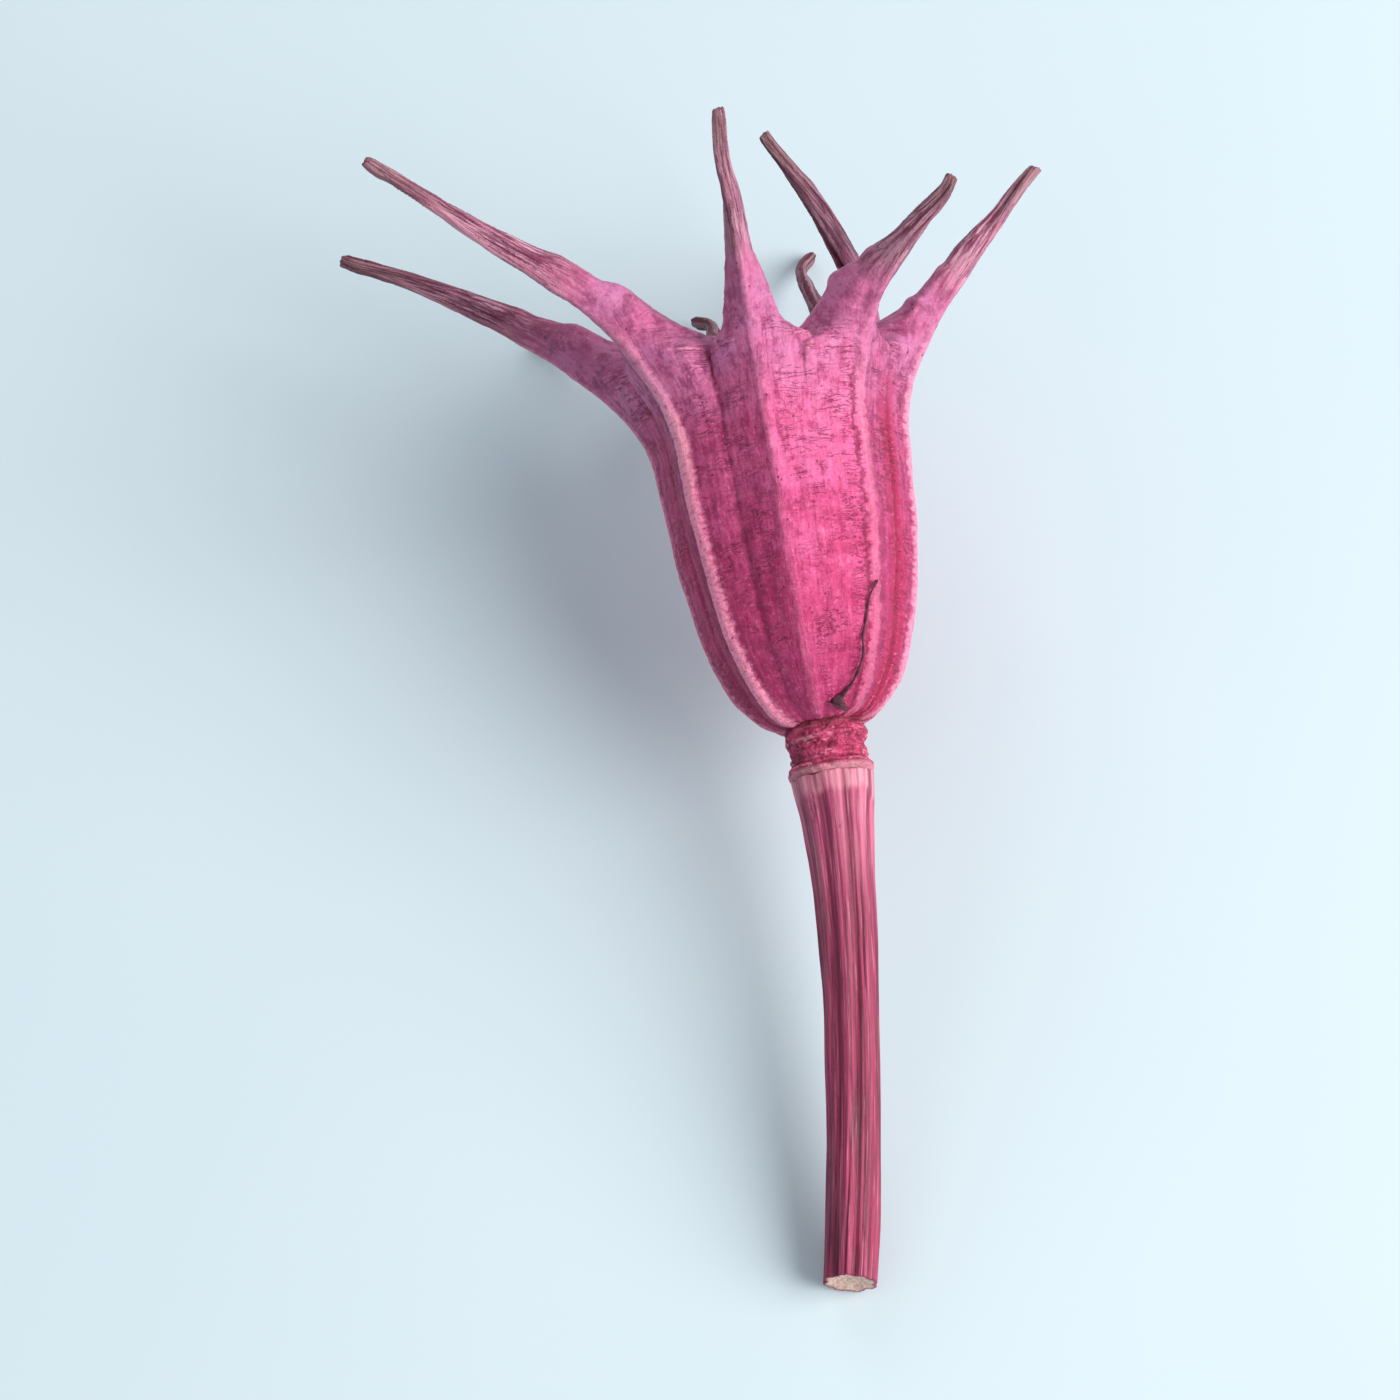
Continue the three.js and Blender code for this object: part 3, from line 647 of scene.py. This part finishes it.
# the head's rim is uneven; the foot is a slanting cut
rim = 0.16 * noise3(circ(3.0, 5.1).reshape(-1, 3), 77).reshape(turn.shape)
ring[..., 2] += rim * np.exp(-((al / 0.5) ** 2))
slant = (R * np.sin(a)) * math.tan(CUT) * sstep(0.86, 1.0, u)[:, None]
ring = ring + axis[:, None, :] * slant[..., None]
# end faces: the rim turns in, with a pithy hollow at the cut
caps = []
for shrink, sink in ((0.97, 0.03), (0.9, 0.02), (0.8, -0.03), (0.68, -0.10), (0.5, -0.20), (0.3, -0.26), (0.12, -0.28)):
    c = ring[-1].mean(0)
    grain = 0.05 * noise3(np.stack([np.cos(a) * shrink * 5, np.sin(a) * shrink * 5, 0 * a], -1), 81)
    caps.append(c + (ring[-1] - c) * shrink + axis[-1] * (sink + grain)[:, None])
head = []
for shrink in (0.3, 0.6, 0.85, 0.97):
    c = ring[0].mean(0)
    head.append(c + (ring[0] - c) * shrink - axis[0] * 0.02 * (1 - shrink))
full = np.concatenate([np.array(head), ring, np.array(caps)])
v, qd, tr = skin(full)
qd, tr = qd[:, ::-1], tr[:, ::-1]
k0, k1 = len(head), len(caps)
stem_me = mesh_from("stem_skin", lay(v), qd, tr)


def padded(values, first, last):
    return np.concatenate([np.full(k0 * sides, first), values.ravel(), np.full(k1 * sides, last), [first, last]])


attribute(stem_me, "along", padded(al, 0, STEM_LENGTH))
attribute(stem_me, "turn", padded(np.broadcast_to(a, al.shape), 0, 0))
attribute(stem_me, "rib", padded(ribs, 0.5, 0.5))
attribute(stem_me, "stria", padded(stria, 0, 0))
attribute(stem_me, "cuff", padded(cuff, 0.6, 0))
pith = np.concatenate([np.zeros(k0 * sides + ring.shape[0] * sides), np.repeat([0.1, 0.5, 0.9, 1, 1, 1, 1], sides), [0, 1]])
attribute(stem_me, "pith", pith)
shade_smooth(stem_me)
stem = bpy.data.objects.new("stem_skin", stem_me)
bpy.context.scene.collection.objects.link(stem)
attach(stem, "root")
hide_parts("stem")

# ---------------------------------------------------------------- withered stamen on the pod's side
STAMEN = np.array([[14, 0.5], [20, 0.9], [27, 1.35], [30, 2], [31, 2.6], [31.5, 3.3], [32.5, 3.9], [34, 4.5], [36, 5.1], [40, 6.1]])
ss = np.linspace(0, len(STAMEN) - 1, 120)
sa = pchip(np.arange(len(STAMEN)), STAMEN[:, 0], ss) + 0.5 * np.sin(ss * 2.1)
sz = pchip(np.arange(len(STAMEN)), STAMEN[:, 1], ss)
path = []
for ai, zi in zip(sa, sz):
    d = Vector((math.sin(rad(ai)), -math.cos(rad(ai)), 0))
    hit = skin_tree.ray_cast(d * 12 + Vector((0, 0, zi)), -d)
    path.append(hit[0] + hit[1] * 0.10 if hit[0] is not None else d * 5 + Vector((0, 0, zi)))
path = np.array([list(p) for p in path])
for _ in range(6):
    path[1:-1] = path[1:-1] * 0.5 + (path[:-2] + path[2:]) * 0.25
lift_off = np.linspace(0, 1, len(path))
path += np.stack([np.sin(rad(35)) * np.ones(len(path)), -np.cos(rad(35)) * np.ones(len(path)), 0 * lift_off], 1) * (0.16 * np.sin(lift_off * math.pi * 1.3) ** 2)[:, None]
tangent = np.gradient(path, axis=0)
tangent /= np.linalg.norm(tangent, axis=1)[:, None]
side1 = np.cross(tangent, [0.2, 1, 0.1])
side1 /= np.linalg.norm(side1, axis=1)[:, None]
side2 = np.cross(tangent, side1)
th = np.linspace(0, 2 * math.pi, 20, endpoint=False)
rs = 0.085 + 0.012 * np.sin(ss * 5) - 0.035 * lift_off
rs = rs + (0.50 + 0.10 * np.sin(ss * 19)) * np.exp(-((lift_off / 0.075) ** 2)) + 0.05 * np.exp(-(((lift_off - 1) / 0.03) ** 2))
rs[0] = 0.05
rs[-1] = 0.03
knot = 1 + 0.5 * np.exp(-((lift_off / 0.09) ** 2))[:, None] * noise3(np.stack([np.cos(th)[None, :] * 2.2 + 0 * ss[:, None], np.sin(th)[None, :] * 2.2 + 0 * ss[:, None], ss[:, None] * 5 + 0 * th], -1).reshape(-1, 3), 91).reshape(len(ss), len(th))
tube = path[:, None, :] + knot[..., None] * (side1[:, None, :] * (rs[:, None] * np.cos(th))[..., None] + side2[:, None, :] * (rs[:, None] * np.sin(th) * 0.7)[..., None])
v, qd, tr = skin(tube)
stamen_me = mesh_from("stamen_filament", lay(v), qd, tr)
shade_smooth(stamen_me)
stamen = bpy.data.objects.new("stamen_filament", stamen_me)
bpy.context.scene.collection.objects.link(stamen)
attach(stamen, "root")
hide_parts("withered_stamen")


# ---------------------------------------------------------------- materials
class Nodes:
    """A short way to write node trees."""

    def __init__(self, name):
        self.mat = bpy.data.materials.new(name)
        self.mat.use_nodes = True
        self.nt = self.mat.node_tree
        self.nt.nodes.clear()
        self.out = self.nt.nodes.new("ShaderNodeOutputMaterial")
        self.bsdf = self.nt.nodes.new("ShaderNodeBsdfPrincipled")
        self.nt.links.new(self.bsdf.outputs[0], self.out.inputs[0])

    def put(self, socket, value):
        if isinstance(value, bpy.types.NodeSocket):
            self.nt.links.new(value, socket)
        elif value is not None:
            socket.default_value = value

    def attr(self, name):
        n = self.nt.nodes.new("ShaderNodeAttribute")
        n.attribute_name = name
        return n.outputs["Fac"]

    def math(self, op, a, b=None, c=None, clamp=False):
        n = self.nt.nodes.new("ShaderNodeMath")
        n.operation = op
        n.use_clamp = clamp
        for k, value in enumerate((a, b, c)):
            self.put(n.inputs[k], value)
        return n.outputs[0]

    def xyz(self, x, y, z):
        n = self.nt.nodes.new("ShaderNodeCombineXYZ")
        for k, value in enumerate((x, y, z)):
            self.put(n.inputs[k], value)
        return n.outputs[0]

    def mm(self):
        """Object coordinates in millimetres."""
        c = self.nt.nodes.new("ShaderNodeTexCoord")
        n = self.nt.nodes.new("ShaderNodeVectorMath")
        n.operation = "SCALE"
        self.nt.links.new(c.outputs["Object"], n.inputs[0])
        n.inputs["Scale"].default_value = 1000
        return n.outputs[0]

    def noise(self, vector, scale=1.0, detail=2.0, rough=0.5, distort=0.0):
        n = self.nt.nodes.new("ShaderNodeTexNoise")
        self.put(n.inputs["Vector"], vector)
        n.inputs["Scale"].default_value = scale
        n.inputs["Detail"].default_value = detail
        n.inputs["Roughness"].default_value = rough
        n.inputs["Distortion"].default_value = distort
        return n.outputs["Fac"]

    def voronoi(self, vector, scale=1.0, feature="F1", rand=1.0):
        n = self.nt.nodes.new("ShaderNodeTexVoronoi")
        n.feature = feature
        self.put(n.inputs["Vector"], vector)
        n.inputs["Scale"].default_value = scale
        n.inputs["Randomness"].default_value = rand
        return n.outputs["Distance"]

    def span(self, value, a, b, lo=0.0, hi=1.0, smooth=True):
        """lo at a, hi at b, held outside."""
        n = self.nt.nodes.new("ShaderNodeMapRange")
        n.interpolation_type = "SMOOTHSTEP" if smooth else "LINEAR"
        if a > b:
            a, b, lo, hi = b, a, hi, lo
        self.put(n.inputs["Value"], value)
        n.inputs["From Min"].default_value = a
        n.inputs["From Max"].default_value = b
        n.inputs["To Min"].default_value = lo
        n.inputs["To Max"].default_value = hi
        return n.outputs[0]

    def times(self, *values):
        r = values[0]
        for v in values[1:]:
            r = self.math("MULTIPLY", r, v)
        return r

    def mix(self, fac, a, b, mode="MIX"):
        n = self.nt.nodes.new("ShaderNodeMix")
        n.data_type = "RGBA"
        n.blend_type = mode
        self.put(n.inputs[0], fac)
        for socket, value in ((n.inputs[6], a), (n.inputs[7], b)):
            self.put(socket, (*value, 1) if isinstance(value, tuple) else value)
        return n.outputs[2]

    def bump(self, height, strength=0.5, distance=0.0001, normal=None):
        n = self.nt.nodes.new("ShaderNodeBump")
        n.inputs["Strength"].default_value = strength
        n.inputs["Distance"].default_value = distance
        self.put(n.inputs["Height"], height)
        if normal is not None:
            self.put(n.inputs["Normal"], normal)
        return n.outputs[0]


def capsule_material():
    m = Nodes("dyed_capsule")
    keel_d, groove_d, lat_, along = m.attr("keel_d"), m.attr("groove_d"), m.attr("lat"), m.attr("along")
    fid_, t_, tau_, inner_ = m.attr("fid"), m.attr("t"), m.attr("tau"), m.attr("inner")
    height, fine_, coarse_ = m.attr("height"), m.attr("fine"), m.attr("coarse")
    mm_ = m.mm()
    east, south = m.attr("east"), m.attr("south")
    on_skin = m.xyz(east, south, along)                      # round the pod, and along its walls
    across = m.xyz(m.times(east, 0.50), m.times(south, 0.50), m.times(along, 2.6))
    long_ = m.xyz(m.times(east, 1.9), m.times(south, 1.9), m.times(along, 0.26))
    lift = m.math("MULTIPLY", fid_, 13.7)
    body = m.span(t_, 0.30, 0.05)
    ribbon_ = m.span(t_, 0.47, 0.66)

    dye_and_shade_, band_w, seam_, rail_, ash_ = m.attr("dye_and_shade"), m.attr("band"), m.attr("seam"), m.attr("rail"), m.attr("ash")
    crimson, magenta, plum = (0.190, 0.010, 0.045), (0.400, 0.027, 0.118), (0.170, 0.020, 0.085)
    pink, rose = (0.660, 0.052, 0.195), (0.890, 0.190, 0.430)
    peach, lilac = (0.980, 0.390, 0.520), (0.580, 0.210, 0.410)

    blotch = m.noise(mm_, 0.45, 4, 0.65)
    mottle = m.math("ADD", m.times(m.noise(mm_, 1.5, 4, 0.62), 0.55), m.times(m.noise(long_, 1.9, 4, 0.62), 0.45))
    streak = m.noise(long_, 1.0, 4, 0.62, 0.3)
    colour = m.mix(m.math("ADD", m.span(blotch, 0.36, 0.66, 0, 0.55), m.span(height, 5.0, 14.5, 0, 0.55)), pink, rose)
    colour = m.mix(m.times(m.span(streak, 0.50, 0.30, 0, 0.50), m.span(dye_and_shade_, 0.0, 0.6, 0.35, 1.0)), colour, magenta)
    colour = m.mix(m.span(mottle, 0.50, 0.38, 0, 0.70), colour, magenta)
    colour = m.mix(m.span(mottle, 0.53, 0.63, 0, 0.45), colour, (0.93, 0.29, 0.46))
    colour = m.mix(m.span(height, 8.5, 1.0, 0, 0.50), colour, magenta)
    # each flank is darkened by its own amount: part dye, part painted shade
    colour = m.mix(m.times(dye_and_shade_, m.span(streak, 0.25, 0.7, 0.95, 0.60)), colour, magenta)
    colour = m.mix(m.times(dye_and_shade_, m.span(mottle, 0.58, 0.40, 0.10, 0.65)), colour, plum)
    # painted shade: a darker strip runs along the nerve, on the flank that is coloured darker
    strip = m.times(m.span(keel_d, 1.15, 0.55), m.span(dye_and_shade_, 0.55, 0.95), m.span(t_, 0.42, 0.22))
    colour = m.mix(m.times(strip, m.span(streak, 0.3, 0.6, 0.75, 0.40)), colour, plum)
    # raised nerve along the keel: a pale band, with painted shade as a darker line on each side
    edge = m.math("ADD", keel_d, m.span(m.noise(m.xyz(m.times(east, 0.9), m.times(south, 0.9), m.times(along, 2.2)), 1.6, 4, 0.65), 0.3, 0.7, -0.16, 0.16))
    reach = m.span(band_w, 0.2, 1.0, 0.34, 0.62, smooth=False)
    band = m.times(m.span(m.math("DIVIDE", edge, reach), 1.08, 0.42), m.span(tau_, 0.45, 0.62), m.span(t_, 0.5, 0.2))
    fleck = m.span(m.noise(m.xyz(m.times(east, 1.3), m.times(south, 1.3), m.times(along, 3.0)), 2.2, 4, 0.68), 0.32, 0.56, 0.45, 1.0)
    colour = m.mix(m.math("MULTIPLY", m.times(band, band_w, fleck), 1.0, clamp=True), colour, peach)
    # painted shade: the crimson line on the nerve's side away from the light
    rail = m.times(m.span(edge, 0.30, 0.44), m.span(edge, 0.66, 0.50), m.span(t_, 0.42, 0.28))
    colour = m.mix(m.times(rail, rail_, m.span(streak, 0.30, 0.60, 0.95, 0.70)), colour, crimson)
    # grooves between follicles: painted shade darkens each crease
    colour = m.mix(m.times(m.span(groove_d, 1.15, 0.25), body, m.span(seam_, 0.3, 1.0, 0.0, 0.92)), colour, (0.430, 0.012, 0.085))
    crease = m.times(m.span(groove_d, 0.36, 0.05), body, seam_)
    colour = m.mix(m.times(crease, m.span(streak, 0.3, 0.7, 0.25, 0.7)), colour, crimson)
    # lilac bloom over the shoulders and the star
    shoulder = m.times(m.span(height, 14.2, 19.2), m.span(t_, 0.62, 0.46))
    colour = m.mix(m.times(shoulder, m.span(blotch, 0.3, 0.7, 0.40, 0.85)), colour, m.mix(m.span(mottle, 0.55, 0.40, 0, 0.75), lilac, (0.270, 0.050, 0.150)))
    # painted shade darkens the hollows; crests are made paler
    colour = m.mix(m.span(coarse_, -0.05, -0.55, 0, 0.55), colour, magenta)
    colour = m.mix(m.span(fine_, -0.15, -0.9, 0, 0.55), colour, crimson)
    colour = m.mix(m.span(fine_, 0.2, 0.9, 0, 0.40), colour, peach)
    # short cross veins, fine and dark
    vein = m.noise(across, 1.25, 4, 0.62, 0.7)
    line = m.math("ABSOLUTE", m.math("SUBTRACT", vein, 0.5))
    near_rail = m.times(m.span(keel_d, 1.5, 0.9), rail_)
    patch = m.math("MAXIMUM", m.span(m.noise(on_skin, 0.55, 2), 0.44, 0.60), near_rail)
    face = m.span(keel_d, 0.35, 0.75)
    crossing = m.times(m.span(line, 0.026, 0.006), patch, face, m.span(t_, 0.5, 0.25))
    colour = m.mix(m.times(crossing, 0.72), colour, crimson)
    # specks and pits
    spot = m.voronoi(mm_, 1.9)
    speck = m.times(m.span(spot, 0.15, 0.08), m.span(m.noise(mm_, 0.8, 2), 0.50, 0.60))
    colour = m.mix(m.times(speck, 0.75), colour, crimson)
    dust = m.noise(mm_, 6.0, 4, 0.72)
    low = m.span(height, 14.0, 6.0, 0.55, 1.0)
    colour = m.mix(m.span(dust, 0.58, 0.72, 0, 0.35), colour, peach)
    colour = m.mix(m.times(m.span(dust, 0.46, 0.32, 0, 0.65), low), colour, magenta)
    # beaks: dusty pink ribbons with darker lengthwise lines, brown-grey at the ends
    fibre = m.noise(m.xyz(m.math("MULTIPLY", lat_, 7.0), m.math("MULTIPLY", tau_, 6.0), m.math("MULTIPLY", along, 0.22)), 1.0, 3, 0.6)
    beak = m.mix(m.span(fibre, 0.38, 0.62), (0.270, 0.060, 0.130), (0.790, 0.410, 0.530))
    beak = m.mix(m.span(blotch, 0.50, 0.7, 0, 0.30), beak, (0.42, 0.19, 0.29))
    crack = m.math("ABSOLUTE", m.math("SUBTRACT", m.noise(m.xyz(m.math("MULTIPLY", lat_, 3.0), m.math("MULTIPLY", tau_, 3.4), m.math("MULTIPLY", along, 0.13)), 1.0, 3, 0.62), 0.5))
    crack = m.times(m.span(crack, 0.030, 0.008), ribbon_)
    furrow = m.times(m.span(tau_, 0.34, 0.50), m.span(tau_, 0.74, 0.60), m.span(fibre, 0.62, 0.42, 0.35, 1.0))
    beak = m.mix(m.times(furrow, 0.85), beak, (0.150, 0.020, 0.060))
    beak = m.mix(m.times(m.span(tau_, 0.86, 0.97), 0.55), beak, (0.80, 0.36, 0.46))
    beak = m.mix(m.times(ash_, 0.80), beak, m.mix(m.span(fibre, 0.38, 0.62), (0.080, 0.030, 0.050), (0.30, 0.15, 0.19)))
    crest_ = m.times(m.span(t_, 0.36, 0.46), ash_, m.span(mottle, 0.36, 0.60, 0.85, 0.35))
    colour = m.mix(crest_, colour, (0.290, 0.085, 0.170))
    colour = m.mix(m.span(height, 17.0, 9.0, 0.25, 1.0), colour, (0.985, 0.79, 0.90), "MULTIPLY")
    colour = m.mix(m.times(ribbon_, 0.90), colour, beak)
    colour = m.mix(m.times(crack, 0.60), colour, (0.120, 0.014, 0.050))
    colour = m.mix(m.span(t_, 0.74, 0.98, 0, 0.75), colour, m.mix(m.span(fibre, 0.4, 0.6), (0.150, 0.055, 0.075), (0.36, 0.19, 0.20)))
    # inside the open sutures: painted shade, a near-black crimson
    colour = m.mix(m.span(inner_, 0.30, 0.75), colour, (0.150, 0.008, 0.035))
    m.put(m.bsdf.inputs["Base Color"], colour)
    rough = m.span(m.noise(mm_, 2.2, 3), 0.3, 0.7, 0.46, 0.66)
    m.put(m.bsdf.inputs["Roughness"], rough)
    m.bsdf.inputs["Specular IOR Level"].default_value = 0.28
    m.bsdf.inputs["Sheen Weight"].default_value = 0.02
    m.bsdf.inputs["Sheen Roughness"].default_value = 0.5
    m.bsdf.inputs["Sheen Tint"].default_value = (1, 0.82, 0.9, 1)
    grain = m.math("ADD", m.times(m.noise(mm_, 7.0, 4, 0.65), 0.5), m.times(m.noise(long_, 3.0, 4, 0.6), 0.7))
    grain = m.math("SUBTRACT", grain, m.math("ADD", m.times(crossing, 0.35), m.times(crack, 0.8)))
    grain = m.math("SUBTRACT", grain, m.times(speck, 0.6))
    m.put(m.bsdf.inputs["Normal"], m.bump(grain, 0.75, 0.00014))
    return m.mat


def receptacle_material():
    m = Nodes("dyed_receptacle")
    mm_ = m.mm()
    along = m.attr("along")
    n1, n2 = m.noise(mm_, 1.6, 4, 0.65), m.noise(mm_, 6.0, 3, 0.6)
    colour = m.mix(m.span(n1, 0.35, 0.65), (0.250, 0.012, 0.055), (0.600, 0.060, 0.170))
    colour = m.mix(m.span(n2, 0.55, 0.75, 0, 0.6), colour, (0.700, 0.260, 0.330))
    colour = m.mix(m.span(n2, 0.42, 0.28, 0, 0.7), colour, (0.090, 0.010, 0.020))
    strand = m.noise(m.xyz(m.times(m.noise(mm_, 0.6, 2), 2.0), along, 0.0), 5.0, 3, 0.6)
    colour = m.mix(m.span(strand, 0.55, 0.66, 0, 0.7), colour, (0.800, 0.290, 0.350))
    colour = m.mix(m.span(strand, 0.45, 0.36, 0, 0.6), colour, (0.120, 0.010, 0.030))
    colour = m.mix(m.span(along, -0.45, -0.05, 0, 0.55), colour, (0.110, 0.020, 0.030))
    colour = m.mix(m.span(along, -2.15, -2.4, 0, 0.5), colour, (0.75, 0.36, 0.42))
    m.put(m.bsdf.inputs["Base Color"], colour)
    m.put(m.bsdf.inputs["Roughness"], m.span(n1, 0.3, 0.7, 0.65, 0.85))
    m.bsdf.inputs["Specular IOR Level"].default_value = 0.3
    m.put(m.bsdf.inputs["Normal"], m.bump(m.math("ADD", n2, n1), 0.8, 0.00015))
    return m.mat


def stem_material():
    m = Nodes("dyed_stem_skin")
    mm_ = m.mm()
    along, turn_, rib, cuff_, pith_ = m.attr("along"), m.attr("turn"), m.attr("rib"), m.attr("cuff"), m.attr("pith")
    cx = m.math("MULTIPLY", m.math("COSINE", turn_), 1.0)
    sx = m.math("MULTIPLY", m.math("SINE", turn_), 1.0)
    wood = m.xyz(m.times(cx, 9.0), m.times(sx, 9.0), m.times(along, 0.16))
    broad = m.xyz(m.times(cx, 2.2), m.times(sx, 2.2), m.times(along, 0.12))
    s1, s2 = m.noise(wood, 1.0, 4, 0.6), m.noise(broad, 1.0, 3, 0.6, 0.4)
    colour = m.mix(m.span(s1, 0.36, 0.64), (0.330, 0.028, 0.100), (0.620, 0.120, 0.240))
    colour = m.mix(m.span(s2, 0.45, 0.62, 0, 0.50), colour, (0.700, 0.230, 0.330))
    # painted shade: darker down the rib grooves
    colour = m.mix(m.span(rib, 0.50, 0.95, 0, 0.75), colour, (0.180, 0.012, 0.050))
    # painted shadow: the stem grows darker away from its head
    colour = m.mix(m.span(along, 0.8, 9.5, 0, 0.84), colour, m.mix(m.span(s1, 0.4, 0.6), (0.130, 0.010, 0.035), (0.380, 0.035, 0.105)))
    blot = m.noise(m.xyz(m.times(cx, 2.0), m.times(sx, 2.0), m.times(along, 0.6)), 1.0, 4, 0.65)
    colour = m.mix(m.span(blot, 0.60, 0.72, 0, 0.65), colour, (0.150, 0.018, 0.045))
    colour = m.mix(m.span(m.noise(wood, 2.2, 3), 0.58, 0.70, 0, 0.35), colour, (0.80, 0.38, 0.44))
    torn = m.times(m.span(s1, 0.3, 0.7, 0.25, 0.80), m.span(m.noise(broad, 1.6, 2), 0.36, 0.62, 0.25, 1.0))
    colour = m.mix(m.times(cuff_, torn), colour, (0.860, 0.360, 0.430))
    colour = m.mix(m.span(pith_, 0.2, 0.8), colour, m.mix(m.span(m.noise(mm_, 6.0, 3), 0.35, 0.65), (0.62, 0.36, 0.30), (0.83, 0.62, 0.52)))
    m.put(m.bsdf.inputs["Base Color"], colour)
    m.put(m.bsdf.inputs["Roughness"], m.span(s1, 0.3, 0.7, 0.48, 0.68))
    m.bsdf.inputs["Specular IOR Level"].default_value = 0.4
    grain = m.math("ADD", m.times(s1, 0.8), m.times(m.noise(mm_, 8.0, 3, 0.6), 0.35))
    m.put(m.bsdf.inputs["Normal"], m.bump(grain, 0.6, 0.00014))
    return m.mat


def stamen_material():
    m = Nodes("withered_thread")
    n1 = m.noise(m.mm(), 3.0, 3, 0.6)
    m.put(m.bsdf.inputs["Base Color"], m.mix(m.span(n1, 0.35, 0.65), (0.030, 0.006, 0.014), (0.150, 0.020, 0.050)))
    m.put(m.bsdf.inputs["Roughness"], m.span(n1, 0.3, 0.7, 0.6, 0.8))
    m.put(m.bsdf.inputs["Normal"], m.bump(n1, 0.4, 0.00008))
    return m.mat


capsule.data.materials.append(capsule_material())
knob.data.materials.append(receptacle_material())
stem.data.materials.append(stem_material())
stamen.data.materials.append(stamen_material())

# ---------------------------------------------------------------- floor, light, camera
bpy.ops.mesh.primitive_plane_add(size=3.0, location=(0, 0, 0))
floor = bpy.context.object
floor.name = "floor"
f = Nodes("pale_surface")
fn = f.noise(f.mm(), 0.02, 2)
f.put(f.bsdf.inputs["Base Color"], f.mix(f.span(fn, 0.3, 0.7), (0.640, 0.755, 0.815), (0.665, 0.775, 0.830)))
f.bsdf.inputs["Roughness"].default_value = 0.85
f.bsdf.inputs["Specular IOR Level"].default_value = 0.2
floor.data.materials.append(f.mat)

world = bpy.data.worlds.new("studio")
bpy.context.scene.world = world
world.use_nodes = True
bg = world.node_tree.nodes["Background"]
bg.inputs["Color"].default_value = (0.86, 0.94, 1.0, 1)
bg.inputs["Strength"].default_value = 0.41


def soft_light(name, place, size, power, colour=(1, 1, 1), aim=(0, 0.004, 0.010)):
    data = bpy.data.lights.new(name, "AREA")
    data.shape = "DISK"
    data.size = size
    data.energy = power
    data.color = colour
    ob = bpy.data.objects.new(name, data)
    bpy.context.scene.collection.objects.link(ob)
    ob.location = place
    ob.rotation_euler = (Vector(aim) - Vector(place)).to_track_quat("-Z", "Y").to_euler()
    return ob


soft_light("key", (0.36, -0.14, 0.28), 0.44, 3.2, (1.0, 0.98, 0.95))
soft_light("fill", (-0.40, -0.20, 0.40), 0.50, 0.15, (0.86, 0.93, 1.0))
soft_light("rim", (-0.10, 0.42, 0.26), 0.30, 0.40, (1.0, 0.98, 1.0))

camera_data = bpy.data.cameras.new("camera")
camera_data.lens = 110
camera_data.sensor_width = 36
camera_data.clip_start = 0.01
camera_data.clip_end = 10
camera = bpy.data.objects.new("camera", camera_data)
bpy.context.scene.collection.objects.link(camera)
bpy.context.scene.camera = camera
ELEVATION, LEAN, DISTANCE = 64.0, 8.0, 0.213
target = Vector((-0.0028, -0.0030, 0.0125))
back = Vector((0, -math.cos(rad(ELEVATION)), math.sin(rad(ELEVATION))))
look = (-back).to_track_quat("-Z", "Y").to_matrix()
camera.matrix_world = Matrix.Translation(target + back * DISTANCE) @ (look @ Matrix.Rotation(-rad(LEAN), 3, "Z")).to_4x4()

view = bpy.context.scene.view_settings
view.view_transform = "Standard"
view.look = "None"
view.exposure = 0.0
